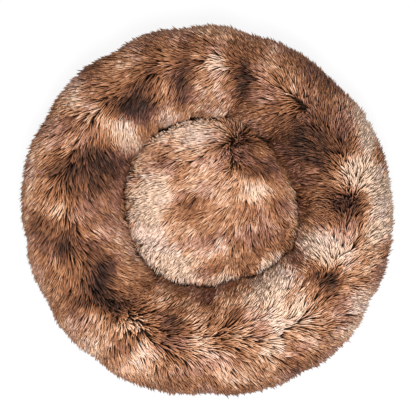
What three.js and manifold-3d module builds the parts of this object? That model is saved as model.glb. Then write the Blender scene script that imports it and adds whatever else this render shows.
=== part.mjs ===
// Round plush pet bed: a stuffed long-pile bolster ring sewn to a round base,
// with a loose round cushion lying in its well. Both covers close with a coil zip.
// Millimetres, +Z up. The origin is on the floor under the middle of the base.
// Seen from above, +X is the right side of the bed and +Y is its back.

import * as THREE from "three";
import { mergeVertices } from "three/addons/utils/BufferGeometryUtils.js";
import Module from "manifold-3d";

const wasm = await Module();
wasm.setup();

// Bolster ring, measured to the mean surface of its pile
const bedRadius = 297;
const bedHeight = 175;
const wellRadiusShare = 0.4815;
const wellShiftX = 5;
const wellShiftY = 10;
const bolsterWaistHeight = 80;
const bolsterPileDepth = 18;

// Loose cushion, measured the same way
const cushionClearance = 3;
const cushionCrownHeight = 95;
const cushionWaistHeight = 62;
const cushionSeamHeight = 40;
const cushionTuckDepth = 60;
const cushionPileDepth = 14;

// Fabrics and the gap that pieces keep where they touch
const baseThickness = 2;
const baseBendRadius = 12;
const baseBandLip = 12;
const floorThickness = 2;
const undersideThickness = 2;
const linerThickness = 1.5;
const linerEase = 0.6;
const touchGap = 0.3;
const cutOverrun = 5;

// Coil zip, the same size in both covers
const zipBandHeight = 24;
const zipTapeThickness = 1;
const zipTapeSetback = 1;
const zipMeetingGap = 1.4;
const coilHeight = 2.5;
const coilDepth = 2;
const baseZipHalfArc = 45;
const cushionZipHalfArc = 40;

// Zip slider and pull
const sliderLength = 13;
const sliderPlateThickness = 1.1;
const sliderFlangeHeight = 1.2;
const sliderRunningGap = 0.45;
const sliderNeckLength = 4;
const sliderNeckHeight = 0.6;
const sliderEndMargin = 1.5;
const archLength = 7.6;
const archHeight = 2.6;
const archBarThickness = 0.9;
const archWidth = 2.4;
const pullLength = 20;
const pullWidth = 7.2;
const pullThickness = 1.2;
const pullEyeLength = 5;
const pullEyeClearance = 0.5;
const pullBarThickness = 1.2;
const pullSlotLength = 7;
const pullSlotWidth = 2.6;

// Filling slits of the two inner bags
const slitHeight = 10;
const slitHalfArc = 12;

// Roundness of the stuffed sections: 2 is an ellipse, more is squarer
const upperRoundness = 2.2;
const lowerRoundness = 3.6;
const undersideRoundness = 3;

// Columns around the bed, and steps around a stuffed section
const columns = 48;
const sectionStep = Math.PI / 6;
const coverSteps = 12;
const bendSteps = 3;
const tuckSteps = 2;
const crownSteps = 6;
const coreSteps = 3;
const undersideSteps = 4;
const zipArcStep = 3;

// Directions in degrees, counted from +X towards +Y
const backDirection = 90;
const gatherDirections = [7.5, 45, 75, 97.5, 120, 150, 187.5, 210, 232.5, 270, 300, 330];
const gatherDepthShares = [0.03, 0.07, 0.09, 0.06, 0.07, 0.08, 0.04, 0.05, 0.08, 0.07, 0.05, 0.07];
const gatherSpread = 6;

// Waves of the two outlines: how many around, the height as a share of the radius,
// and the direction of one crest
const wellWaveShares = [[2, 0.0245, -24.5], [3, 0.03, -19], [4, 0.0245, -27]];
const rimWaveShares = [[1, 0.011, -95], [2, 0.011, -45], [3, 0.004, -14.5], [4, 0.004, -42], [5, 0.006, 17]];
const wellZoneStartShare = 0.1;
const wellZoneEndShare = 0.8;

// Sizes worked out from the ones above
const degree = Math.PI / 180;
const wellRadius = bedRadius * wellRadiusShare;
const ringWidth = bedRadius - wellRadius;
const ringMiddle = wellRadius + ringWidth / 2;
const floorTop = baseThickness + touchGap + floorThickness;
const baseHem = baseBendRadius;
const baseZipMiddle = baseHem + zipBandHeight / 2;
const baseWindowTop = baseHem + zipBandHeight + touchGap;
const cushionRadius = wellRadius - cushionClearance;
const cushionCoreRadius = cushionRadius - cushionPileDepth;
const cushionBottom = floorTop + touchGap;
const cushionWindowTop = cushionSeamHeight + zipBandHeight / 2 + touchGap;
const cushionWindowBottom = cushionSeamHeight - zipBandHeight / 2 - touchGap;
const sliderBackRoom = zipTapeSetback + sliderRunningGap + sliderPlateThickness;

const materials = {
  fur: new THREE.MeshStandardMaterial({ color: 0x8e6a54, roughness: 0.95, metalness: 0 }),
  cushionFur: new THREE.MeshStandardMaterial({ color: 0xb18f76, roughness: 0.95, metalness: 0 }),
  base: new THREE.MeshStandardMaterial({ color: 0x3a322e, roughness: 0.85, metalness: 0 }),
  lining: new THREE.MeshStandardMaterial({ color: 0xa58e7c, roughness: 0.9, metalness: 0 }),
  liner: new THREE.MeshStandardMaterial({ color: 0xe6e2da, roughness: 0.9, metalness: 0 }),
  filling: new THREE.MeshStandardMaterial({ color: 0xf4f2ee, roughness: 1, metalness: 0 }),
  tape: new THREE.MeshStandardMaterial({ color: 0x4a3b32, roughness: 0.85, metalness: 0 }),
  coil: new THREE.MeshStandardMaterial({ color: 0x3c3029, roughness: 0.4, metalness: 0 }),
  metal: new THREE.MeshStandardMaterial({ color: 0x6a5a4a, roughness: 0.35, metalness: 1 }),
};

const bed = new THREE.Group();

function addPiece(name, geometry, material) {
  const mesh = new THREE.Mesh(geometry, material);
  mesh.name = name;
  bed.add(mesh);
}

// A closed mesh as a solid that can be cut and joined
function toSolid(geometry) {
  const bare = geometry.clone();
  bare.deleteAttribute("normal");
  bare.deleteAttribute("uv");
  const merged = mergeVertices(bare);
  return new wasm.Manifold(new wasm.Mesh({
    numProp: 3,
    vertProperties: merged.attributes.position.array,
    triVerts: new Uint32Array(merged.index.array),
  }));
}

function toGeometry(solid) {
  const mesh = solid.getMesh();
  const geometry = new THREE.BufferGeometry();
  geometry.setAttribute("position", new THREE.BufferAttribute(mesh.vertProperties, mesh.numProp));
  geometry.setIndex(new THREE.BufferAttribute(mesh.triVerts, 1));
  geometry.computeVertexNormals();
  return geometry;
}

function cutFrom(geometry, cutter) {
  return toGeometry(toSolid(geometry).subtract(toSolid(cutter)));
}

// Smooth rise from 0 at one value to 1 at another
function rise(value, from, to) {
  return THREE.MathUtils.smoothstep(value, from, to);
}

function waveHeight(waves, turn) {
  const heights = waves.map(([count, share, crest]) => share * Math.cos(count * (turn - crest * degree)));
  return heights.reduce((sum, height) => sum + height, 0);
}

// How far the gathers pull the bolster in at a direction, as a share of its section
function gatherPull(turn) {
  const pulls = gatherDirections.map((direction, place) => {
    const away = Math.abs(turn / degree - direction) % 360;
    const nearest = Math.min(away, 360 - away);
    return gatherDepthShares[place] * Math.exp(-((nearest / gatherSpread) ** 2));
  });
  return Math.max(...pulls);
}

// A stuffed section is a rounded shape around its waist, fuller below than above
function stuffedSection(middle, waist, halfWidth, top, bottom, lower) {
  return { middle, waist, halfWidth, top, bottom, lower };
}

function sectionPoint(section, turn) {
  const across = Math.cos(turn);
  const up = Math.sin(turn);
  const roundness = up < 0 ? section.lower : upperRoundness;
  const reach = up < 0 ? section.waist - section.bottom : section.top - section.waist;
  return {
    turn,
    radius: section.middle + section.halfWidth * Math.sign(across) * Math.abs(across) ** (2 / roundness),
    height: section.waist + reach * Math.sign(up) * Math.abs(up) ** (2 / roundness),
  };
}

// The turn below the waist at which a section comes down to a height
function turnAtHeight(section, height) {
  const drop = (section.waist - height) / (section.waist - section.bottom);
  return Math.asin(drop ** (section.lower / 2));
}

function pointsBetween(section, start, end, steps) {
  return Array.from({ length: steps + 1 }, (_, place) => (
    sectionPoint(section, start + (end - start) * place / steps)
  ));
}

// The regular points of a section that lie between two turns, with both ends added
function regularPoints(section, start, end) {
  const points = [sectionPoint(section, start)];
  for (let place = Math.ceil(start / sectionStep); place * sectionStep < end; place += 1) {
    if (place * sectionStep > start) points.push(sectionPoint(section, place * sectionStep));
  }
  points.push(sectionPoint(section, end));
  return points;
}

// A solid turned from a profile of points that runs counter-clockwise in radius and height.
// Every quad is split along the diagonal that follows the section's turn, so that skins
// which lie against each other are faceted alike.
function turnedSolid(profile, place) {
  const positions = [];
  const faces = [];
  for (let column = 0; column < columns; column += 1) {
    const turn = 2 * Math.PI * column / columns;
    profile.forEach(({ radius, height }) => positions.push(...place(turn, radius, height)));
  }
  const count = profile.length;
  for (let column = 0; column < columns; column += 1) {
    const here = column * count;
    const next = (column + 1) % columns * count;
    for (let point = 0; point < count; point += 1) {
      const after = (point + 1) % count;
      if (profile[point].radius === 0 && profile[after].radius === 0) continue;
      const [a, b, c, d] = [here + point, next + point, next + after, here + after];
      const forward = Math.sin(profile[after].turn - profile[point].turn) > 0;
      if (forward) faces.push([a, b, c], [a, c, d]);
      else faces.push([a, b, d], [b, c, d]);
    }
  }
  const geometry = new THREE.BufferGeometry();
  geometry.setAttribute("position", new THREE.Float32BufferAttribute(positions, 3));
  geometry.setIndex(faces.flat());
  return dropFlatFaces(mergeVertices(geometry));
}

// Faces that have shrunk to a line where the profile meets the axis are left out
function dropFlatFaces(geometry) {
  const index = geometry.index.array;
  const kept = [];
  for (let place = 0; place < index.length; place += 3) {
    const [a, b, c] = index.slice(place, place + 3);
    if (a !== b && b !== c && c !== a) kept.push(a, b, c);
  }
  geometry.setIndex(kept);
  geometry.computeVertexNormals();
  return geometry;
}

function roundPlace(centreX, centreY) {
  return (turn, radius, height) => [
    centreX + radius * Math.cos(turn),
    centreY + radius * Math.sin(turn),
    height,
  ];
}

// The bolster's sections follow the well near the cushion and the outer rim elsewhere.
// Both are true circles low down, where the floor, the base and the zip are sewn on.
function bolsterPlace(turn, radius, height) {
  const rimRise = rise(height, baseWindowTop, bolsterWaistHeight);
  const pull = gatherPull(turn) * rimRise;
  const pulledRadius = ringMiddle + (radius - ringMiddle) * (1 - pull);
  const pulledHeight = bolsterWaistHeight + (height - bolsterWaistHeight) * (1 - pull);
  const acrossShare = (radius - wellRadius) / ringWidth;
  const inward = 1 - rise(acrossShare, wellZoneStartShare, wellZoneEndShare);
  const wellRise = rise(height, baseHem, cushionSeamHeight);
  const wellWave = wellRadius * waveHeight(wellWaveShares, turn) * wellRise;
  const rimWave = bedRadius * waveHeight(rimWaveShares, turn) * rimRise;
  const reach = pulledRadius + inward * wellWave + (1 - inward) * rimWave;
  return [
    inward * wellShiftX + reach * Math.cos(turn),
    inward * wellShiftY + reach * Math.sin(turn),
    pulledHeight,
  ];
}

// The cushion follows the well's waves above its seam and is round below
function cushionPlace(turn, radius, height) {
  const wave = waveHeight(wellWaveShares, turn) * rise(height, cushionSeamHeight, cushionWaistHeight);
  const reach = radius * (1 + wave);
  return [wellShiftX + reach * Math.cos(turn), wellShiftY + reach * Math.sin(turn), height];
}

// A block that follows an arc around the origin
function arcBlock(innerRadius, outerRadius, bottom, top, direction, halfArc) {
  const start = (direction - halfArc) * degree;
  const end = (direction + halfArc) * degree;
  const outline = new THREE.Shape();
  outline.absarc(0, 0, outerRadius, start, end, false);
  outline.absarc(0, 0, innerRadius, end, start, true);
  outline.closePath();
  const block = new THREE.ExtrudeGeometry(outline, {
    depth: top - bottom,
    bevelEnabled: false,
    curveSegments: Math.ceil(halfArc / zipArcStep),
  });
  return block.translate(0, 0, bottom);
}

function box(lengthX, lengthY, lengthZ, x, y, z) {
  return new THREE.BoxGeometry(lengthX, lengthY, lengthZ).translate(x, y, z);
}

// Bolster cover: long-pile shell, open underneath, with a window for the zip
const coverOutside = stuffedSection(
  ringMiddle, bolsterWaistHeight, ringWidth / 2, bedHeight, 0, lowerRoundness,
);
const coverInside = stuffedSection(
  ringMiddle,
  bolsterWaistHeight,
  ringWidth / 2 - bolsterPileDepth,
  bedHeight - bolsterPileDepth,
  baseThickness + touchGap - linerEase,
  lowerRoundness,
);

function bolsterCover() {
  const floorSeat = floorTop + touchGap;
  const outside = pointsBetween(
    coverOutside,
    -turnAtHeight(coverOutside, baseHem),
    Math.PI + turnAtHeight(coverOutside, floorSeat),
    coverSteps,
  );
  const inside = regularPoints(
    coverInside,
    -turnAtHeight(coverInside, baseHem),
    Math.PI + turnAtHeight(coverInside, floorSeat),
  );
  const hemRadius = inside[0].radius;
  const shell = turnedSolid([...outside, ...inside.reverse()], bolsterPlace);
  const window = arcBlock(
    hemRadius - cutOverrun,
    bedRadius + cutOverrun,
    baseHem - cutOverrun,
    baseWindowTop,
    backDirection,
    baseZipHalfArc + touchGap / baseZipRadius / degree,
  );
  return cutFrom(shell, window);
}

// The zip hangs just outside the inner skin of the cover, at the window's upper edge
const windowTurn = turnAtHeight(coverInside, baseWindowTop);
const baseZipRadius = sectionPoint(coverInside, -windowTurn).radius + zipTapeSetback;
const baseRimRadius = baseZipRadius + zipTapeThickness;

// A bag whose wall lies inside a section, and the filling that lies inside the bag
function insetSection(section, inset, bottom) {
  return {
    ...section,
    halfWidth: section.halfWidth - inset,
    top: section.top - inset,
    bottom,
  };
}

const bolsterLinerOutside = insetSection(coverInside, linerEase, baseThickness + touchGap);
const bolsterLinerInside = insetSection(
  bolsterLinerOutside, linerThickness, bolsterLinerOutside.bottom + linerThickness,
);
const bolsterFillingSection = insetSection(
  bolsterLinerInside, touchGap, bolsterLinerInside.bottom + touchGap,
);

function wholeSection(section) {
  const points = regularPoints(section, 0, 2 * Math.PI);
  points.pop();
  return points;
}

function bolsterLiner() {
  const outside = toSolid(turnedSolid(wholeSection(bolsterLinerOutside), bolsterPlace));
  const inside = toSolid(turnedSolid(wholeSection(bolsterLinerInside), bolsterPlace));
  const slit = arcBlock(
    ringMiddle,
    bedRadius + cutOverrun,
    bolsterWaistHeight - slitHeight / 2,
    bolsterWaistHeight + slitHeight / 2,
    backDirection,
    slitHalfArc,
  );
  return toGeometry(outside.subtract(inside).subtract(toSolid(slit)));
}

function bolsterFilling() {
  return turnedSolid(wholeSection(bolsterFillingSection), bolsterPlace);
}

// A round sheet of fabric that lies flat
function flatDisc(radius, bottom, top, centreX, centreY) {
  const profile = [
    { turn: 0, radius: 0, height: bottom },
    { turn: 1, radius, height: bottom },
    { turn: 2, radius, height: top },
    { turn: 3, radius: 0, height: top },
  ];
  return turnedSolid(profile, roundPlace(centreX, centreY));
}

// Base: a flat disc, and a band sewn round it that bends up to carry the zip
const baseFlatRadius = baseRimRadius - baseBendRadius;
const baseDiscRadius = baseFlatRadius - baseBandLip;

function basePanel() {
  return flatDisc(baseDiscRadius, 0, baseThickness, 0, 0);
}

function baseBand() {
  const bend = (radius, start, end) => Array.from({ length: bendSteps + 1 }, (_, place) => {
    const turn = start + (end - start) * place / bendSteps;
    return {
      turn,
      radius: baseFlatRadius + radius * Math.cos(turn),
      height: baseBendRadius + radius * Math.sin(turn),
    };
  });
  const outside = bend(baseBendRadius, -Math.PI / 2, -Math.asin(touchGap / baseBendRadius));
  const innerBend = baseBendRadius - baseThickness;
  const inside = bend(innerBend, -Math.asin(touchGap / innerBend), -Math.PI / 2);
  const lipRadius = baseDiscRadius + touchGap;
  const lipBottom = { turn: -Math.PI, radius: lipRadius, height: 0 };
  const lipTop = { turn: -Math.PI, radius: lipRadius, height: baseThickness };
  return turnedSolid([lipBottom, ...outside, ...inside, lipTop], roundPlace(0, 0));
}

// Well floor: a fabric disc that reaches under the inner hem of the cover
function wellFloor() {
  const seatTurn = turnAtHeight(coverInside, floorTop + touchGap);
  const floorRadius = sectionPoint(coverInside, Math.PI + seatTurn).radius;
  return flatDisc(floorRadius, baseThickness + touchGap, floorTop, wellShiftX, wellShiftY);
}

// Cushion: a long-pile top, a plain underside, and between them a seam with the zip
const cushionTopOutside = stuffedSection(
  0,
  cushionWaistHeight,
  cushionRadius,
  cushionCrownHeight,
  cushionWaistHeight - cushionTuckDepth,
  upperRoundness,
);
const cushionTopInside = insetSection(cushionTopOutside, cushionPileDepth, cushionTopOutside.bottom);
const undersideOutside = stuffedSection(
  0,
  cushionSeamHeight,
  cushionCoreRadius + undersideThickness,
  cushionCrownHeight,
  cushionBottom,
  undersideRoundness,
);
const undersideInside = insetSection(
  undersideOutside, undersideThickness, cushionBottom + undersideThickness,
);
const cushionZipRadius = cushionCoreRadius + (undersideThickness - zipTapeThickness) / 2;

function cushionWindow() {
  return arcBlock(
    cushionCoreRadius - cutOverrun,
    cushionRadius + cutOverrun,
    cushionWindowBottom,
    cushionWindowTop,
    backDirection,
    cushionZipHalfArc + touchGap / cushionZipRadius / degree,
  ).translate(wellShiftX, wellShiftY, 0);
}

function cushionCoverTop() {
  const hem = cushionSeamHeight + touchGap / 2;
  const tuck = pointsBetween(cushionTopOutside, -turnAtHeight(cushionTopOutside, hem), 0, tuckSteps);
  const crown = pointsBetween(cushionTopOutside, 0, Math.PI / 2, crownSteps).slice(1);
  const inside = pointsBetween(cushionTopInside, Math.PI / 2, 0, coreSteps);
  const hemInside = { turn: -1, radius: cushionCoreRadius, height: hem };
  const shell = turnedSolid(onAxis([...tuck, ...crown, ...inside, hemInside]), cushionPlace);
  return cutFrom(shell, cushionWindow());
}

// Points that a section brings to the middle are set on the axis exactly
function onAxis(points) {
  return points.map((point) => ({
    ...point,
    radius: point.radius < touchGap ? 0 : point.radius,
  }));
}

function cushionCoverBase() {
  const hem = cushionSeamHeight - touchGap / 2;
  const outside = pointsBetween(
    undersideOutside, -Math.PI / 2, -turnAtHeight(undersideOutside, hem), undersideSteps,
  );
  const inside = pointsBetween(
    undersideInside, -turnAtHeight(undersideInside, hem), -Math.PI / 2, undersideSteps,
  );
  const shell = turnedSolid(onAxis([...outside, ...inside]), cushionPlace);
  return cutFrom(shell, cushionWindow());
}

// The cushion's inner bag stands back from the zip, so that the slider runs free
function cushionCore(inset) {
  const sideInset = sliderBackRoom + inset;
  const lower = insetSection(undersideInside, sideInset, undersideInside.bottom + touchGap + inset);
  const upper = insetSection(cushionTopInside, sideInset, cushionTopInside.bottom);
  upper.top = cushionTopInside.top - touchGap - inset;
  const below = pointsBetween(lower, -Math.PI / 2, 0, undersideSteps);
  const above = pointsBetween(upper, 0, Math.PI / 2, coreSteps);
  return turnedSolid(onAxis([...below, ...above]), cushionPlace);
}

function cushionLiner() {
  const slit = arcBlock(
    cushionCoreRadius / 2,
    cushionRadius + cutOverrun,
    cushionSeamHeight,
    cushionSeamHeight + slitHeight,
    backDirection,
    slitHalfArc,
  ).translate(wellShiftX, wellShiftY, 0);
  const wall = toSolid(cushionCore(0)).subtract(toSolid(cushionCore(linerThickness)));
  return toGeometry(wall.subtract(toSolid(slit)));
}

function cushionFilling() {
  return cushionCore(linerThickness + touchGap);
}

// Depths of the slider's layers, counted outwards from the inner face of the tapes
const coilInner = zipTapeThickness + touchGap;
const coilOuter = coilInner + coilDepth;
const sliderFace = coilOuter + sliderRunningGap + sliderPlateThickness;
const pullAxisDepth = sliderFace + (archHeight - archBarThickness) / 2;

// The slider lies along X, its outside faces +Y and its middle is at the chain's middle.
// A neck in the gap between the coils joins its two plates, and flanges guide the coils.
function sliderShape() {
  const halfHeight = zipMeetingGap / 2 + coilHeight + sliderRunningGap + sliderFlangeHeight;
  const outerPlateInner = sliderFace - sliderPlateThickness;
  const backPlateOuter = -sliderRunningGap;
  const neckDepth = outerPlateInner - backPlateOuter + sliderPlateThickness;
  const flangeDepth = sliderFace - coilInner;
  let slider = toSolid(box(
    sliderLength, sliderPlateThickness, 2 * halfHeight,
    0, sliderFace - sliderPlateThickness / 2, 0,
  ));
  const parts = [
    box(sliderLength, sliderPlateThickness, 2 * halfHeight, 0, backPlateOuter - sliderPlateThickness / 2, 0),
    box(
      sliderNeckLength, neckDepth, sliderNeckHeight,
      (sliderLength - sliderNeckLength) / 2, (outerPlateInner + backPlateOuter) / 2, 0,
    ),
    box(archLength, archBarThickness, archWidth, 0, sliderFace + archHeight - archBarThickness / 2, 0),
  ];
  for (const side of [-1, 1]) {
    const flangeMiddle = side * (halfHeight - sliderFlangeHeight / 2);
    parts.push(box(
      sliderLength, flangeDepth, sliderFlangeHeight,
      0, sliderFace - flangeDepth / 2, flangeMiddle,
    ));
    parts.push(box(
      archBarThickness, archHeight + sliderPlateThickness / 2, archWidth,
      side * (archLength - archBarThickness) / 2, sliderFace + archHeight / 2 - sliderPlateThickness / 4, 0,
    ));
  }
  parts.forEach((part) => {
    slider = slider.add(toSolid(part));
  });
  return toGeometry(slider);
}

// The pull lies flat over the chain: its bar passes under the arch and turns there,
// its eye goes round the arch, and a slot runs along its grip
function pullShape() {
  const barEdge = pullBarThickness / 2;
  const plateMiddle = (pullLength - barEdge) / 2;
  const eyeWidth = archWidth + 2 * pullEyeClearance;
  const plate = toSolid(box(pullLength + barEdge, pullThickness, pullWidth, plateMiddle, pullAxisDepth, 0));
  const eye = toSolid(box(
    pullEyeLength, pullThickness + cutOverrun, eyeWidth,
    barEdge + pullEyeLength / 2, pullAxisDepth, 0,
  ));
  const slotMiddle = (barEdge + pullEyeLength + pullLength) / 2;
  const slot = toSolid(box(
    pullSlotLength, pullThickness + cutOverrun, pullSlotWidth,
    slotMiddle, pullAxisDepth, 0,
  ));
  return toGeometry(plate.subtract(eye).subtract(slot));
}

// One zip: two tapes that meet edge to edge, a coil along each, a slider and its pull.
// The slider rests at the closed end, which is the last one counted from +X towards +Y.
function addZip(name, centreX, centreY, radius, middle, halfArc) {
  const addArc = (part, inner, depth, bottom, top, material) => {
    const arc = arcBlock(radius + inner, radius + inner + depth, bottom, top, backDirection, halfArc);
    addPiece(`${name}_${part}`, arc.translate(centreX, centreY, 0), material);
  };
  const tapeEdge = zipMeetingGap / 2;
  const bandEdge = zipBandHeight / 2;
  addArc("tape_upper", 0, zipTapeThickness, middle + tapeEdge, middle + bandEdge, materials.tape);
  addArc("tape_lower", 0, zipTapeThickness, middle - bandEdge, middle - tapeEdge, materials.tape);
  const coilEdge = tapeEdge + coilHeight;
  addArc("coil_upper", coilInner, coilDepth, middle + tapeEdge, middle + coilEdge, materials.coil);
  addArc("coil_lower", coilInner, coilDepth, middle - coilEdge, middle - tapeEdge, materials.coil);
  const endTurn = (sliderLength / 2 + sliderEndMargin) / radius;
  const sliderTurn = (backDirection + halfArc) * degree - endTurn;
  const seat = new THREE.Group();
  seat.position.set(centreX, centreY, middle);
  seat.rotation.z = sliderTurn - Math.PI / 2;
  bed.add(seat);
  const slider = new THREE.Mesh(sliderShape(), materials.metal);
  slider.name = `${name}_slider`;
  slider.position.y = radius;
  const pull = new THREE.Mesh(pullShape(), materials.metal);
  pull.name = `${name}_pull`;
  pull.position.y = radius;
  seat.add(slider, pull);
}

addPiece("base_panel", basePanel(), materials.base);
addPiece("base_band", baseBand(), materials.base);
addPiece("well_floor", wellFloor(), materials.lining);
addPiece("bolster_cover", bolsterCover(), materials.fur);
addPiece("bolster_liner", bolsterLiner(), materials.liner);
addPiece("bolster_filling", bolsterFilling(), materials.filling);
addZip("base_zip", 0, 0, baseZipRadius, baseZipMiddle, baseZipHalfArc);
addPiece("cushion_cover_top", cushionCoverTop(), materials.cushionFur);
addPiece("cushion_cover_base", cushionCoverBase(), materials.lining);
addPiece("cushion_liner", cushionLiner(), materials.liner);
addPiece("cushion_filling", cushionFilling(), materials.filling);
addZip("cushion_zip", wellShiftX, wellShiftY, cushionZipRadius, cushionSeamHeight, cushionZipHalfArc);

export default bed;
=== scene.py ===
# %% [markdown]
# # A round plush pet bed
#
# The bed is a stuffed ring, the bolster, sewn onto a flat round base. A loose round cushion lies in
# the well of the ring. Both have a cover of long brown pile that closes with a hidden zip.
# Everything below works in metres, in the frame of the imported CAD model: the origin is on the floor
# under the middle of the base, +Z is up and the zips are at the back, towards +Y.

# %% Load the CAD model
import contextlib
import math
import bmesh
import bpy
import numpy as np
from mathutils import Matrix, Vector, kdtree


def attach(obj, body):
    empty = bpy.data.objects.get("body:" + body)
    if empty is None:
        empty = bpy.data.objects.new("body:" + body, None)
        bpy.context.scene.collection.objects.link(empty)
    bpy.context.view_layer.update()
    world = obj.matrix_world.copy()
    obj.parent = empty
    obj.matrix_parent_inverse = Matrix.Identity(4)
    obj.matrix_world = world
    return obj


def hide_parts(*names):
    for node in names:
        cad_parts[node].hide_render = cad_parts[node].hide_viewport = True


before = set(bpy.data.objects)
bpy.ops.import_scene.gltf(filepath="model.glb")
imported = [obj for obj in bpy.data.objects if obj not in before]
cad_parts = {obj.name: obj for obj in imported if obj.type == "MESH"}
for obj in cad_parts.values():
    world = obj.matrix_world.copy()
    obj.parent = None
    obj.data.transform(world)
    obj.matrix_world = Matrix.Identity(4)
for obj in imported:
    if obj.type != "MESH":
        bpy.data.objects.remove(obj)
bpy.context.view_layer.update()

MM = 0.001
TINY = 1e-9

# %% [markdown]
# The photograph looks straight down on the bed, from far enough away that the sides hardly show.
# A 100 mm lens does the same here. The camera is square over the place that the middle of the
# picture shows, and its distance makes the frame 664 mm wide at the height of the bolster's waist.

# %% Camera
FRAME_WIDTH = 664 * MM
WAIST = 80 * MM
LENS = 100
SENSOR = 36
PHOTO_MIDDLE = (1.6 * MM, 3.2 * MM)
camera_data = bpy.data.cameras.new("photo_camera")
camera_data.lens = LENS
camera_data.sensor_width = SENSOR
camera = bpy.data.objects.new("photo_camera", camera_data)
camera.location = (*PHOTO_MIDDLE, WAIST + FRAME_WIDTH * LENS / SENSOR)
bpy.context.scene.collection.objects.link(camera)
bpy.context.scene.camera = camera
print("camera height:", round(camera.location.z, 3))

# %% [markdown]
# Photographs like this one are lit by a big soft box. One wide area lamp gives the soft shade
# between the locks, and the world fills in the rest. Together they light a level surface to about
# the colour that its material names.

# %% Soft box
SOFTBOX_SIZE = 0.45
SOFTBOX_WATTS = 28
SOFTBOX_PLACE = Vector((0.02, -0.34, 1.7))

bpy.context.scene.view_settings.view_transform = "Standard"
softbox_data = bpy.data.lights.new("softbox", "AREA")
softbox_data.size = SOFTBOX_SIZE
softbox_data.energy = SOFTBOX_WATTS
softbox = bpy.data.objects.new("softbox", softbox_data)
softbox.location = SOFTBOX_PLACE
softbox.rotation_euler = SOFTBOX_PLACE.to_track_quat("Z", "Y").to_euler()
bpy.context.scene.collection.objects.link(softbox)
print("softbox watts:", SOFTBOX_WATTS)

# %% [markdown]
# A finish is a tree of shader nodes. These helpers add a node and feed its inputs in one line: an
# input is linked where the value is another node's output, and else it is set.

# %% Helpers: shader nodes
def feed(tree, node, socket, value):
    """Links an input to another node's output, or sets it to a plain value."""
    if isinstance(value, bpy.types.NodeSocket):
        tree.links.new(value, node.inputs[socket])
    else:
        node.inputs[socket].default_value = value


def add_node(tree, kind, inputs=None, **values):
    """Adds a shader node, sets the values that are named and feeds its inputs."""
    node = tree.nodes.new(kind)
    for name, value in values.items():
        setattr(node, name, value)
    for socket, value in (inputs or {}).items():
        feed(tree, node, socket, value)
    return node


def combine(tree, operation, first, second):
    """One maths step on two values, each a socket or a number."""
    return add_node(tree, "ShaderNodeMath", {0: first, 1: second}, operation=operation).outputs[0]


def object_place(tree):
    """The place on the piece, in metres."""
    return add_node(tree, "ShaderNodeTexCoord").outputs["Object"]


def new_finish(name, roughness, shine=0.3):
    """A material with one Principled shader. Returns it with its tree and its shader."""
    finish = bpy.data.materials.new(name)
    finish.use_nodes = True
    tree = finish.node_tree
    shader = tree.nodes["Principled BSDF"]
    shader.inputs["Roughness"].default_value = roughness
    shader.inputs["Specular IOR Level"].default_value = shine
    return finish, tree, shader


def camera_share(tree, to_camera, elsewhere):
    """Blends two shaders, so that one is seen straight, in gloss and through glass."""
    rays = add_node(tree, "ShaderNodeLightPath").outputs
    gloss = combine(tree, "MAXIMUM", rays["Is Glossy Ray"], rays["Is Transmission Ray"])
    seen = combine(tree, "MAXIMUM", rays["Is Camera Ray"], gloss)
    shaders = {0: seen, 1: elsewhere.outputs[0], 2: to_camera.outputs[0]}
    return add_node(tree, "ShaderNodeMixShader", shaders).outputs[0]


print("node helpers ready")

# %% [markdown]
# The background is white to the camera, while the light that it gives is weaker. The floor is near
# white to the camera and keeps a faint shadow, and further off it turns as white as the background.

# %% World and floor
WORLD_FILL = 0.34
FLOOR_SIZE = 8
FLOOR_LEVEL = -0.5 * MM
WHITE = (1, 1, 1, 1)
FLOOR_COLOUR = (0.9, 0.9, 0.9, 1)
SHADOW_DEPTH = (0.12, 0.12, 0.12, 1)
FLOOR_GLOW = {"From Min": 0.5, "From Max": 1.5, "To Min": 0.9, "To Max": 1.02}

world = bpy.data.worlds.new("studio")
world.use_nodes = True
bpy.context.scene.world = world
studio = world.node_tree
fill = studio.nodes["Background"]
feed(studio, fill, "Strength", WORLD_FILL)
feed(studio, fill, "Color", WHITE)
paper = add_node(studio, "ShaderNodeBackground", {"Color": WHITE})
feed(studio, studio.nodes["World Output"], 0, camera_share(studio, paper, fill))

bpy.ops.object.select_all(action="DESELECT")
bpy.ops.mesh.primitive_plane_add(size=FLOOR_SIZE, location=(0, 0, FLOOR_LEVEL))
floor = bpy.context.object
floor.name = "floor"
floor_finish, tree, matt = new_finish("white_floor", 0.9, 0.5)
feed(tree, matt, "Base Color", FLOOR_COLOUR)
away = add_node(tree, "ShaderNodeVectorMath", {0: object_place(tree)}, operation="LENGTH")
whiter = add_node(tree, "ShaderNodeMapRange", FLOOR_GLOW, interpolation_type="SMOOTHSTEP")
feed(tree, whiter, "Value", away.outputs["Value"])
glow = add_node(tree, "ShaderNodeEmission", {"Strength": whiter.outputs["Result"]})
lit = add_node(tree, "ShaderNodeBsdfDiffuse", {"Color": SHADOW_DEPTH})
both = add_node(tree, "ShaderNodeAddShader", {0: glow.outputs[0], 1: lit.outputs[0]})
feed(tree, tree.nodes["Material Output"], 0, camera_share(tree, both, matt))
floor.data.materials.append(floor_finish)
print("world fill:", WORLD_FILL)

# %% [markdown]
# The soft pieces repeat the sections and the waves of the CAD solids, so that they fill the same
# space. A section is a rounded square that is cut through the stuffing. The numbers here are those
# of the part's source, brought to metres and radians.

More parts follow.
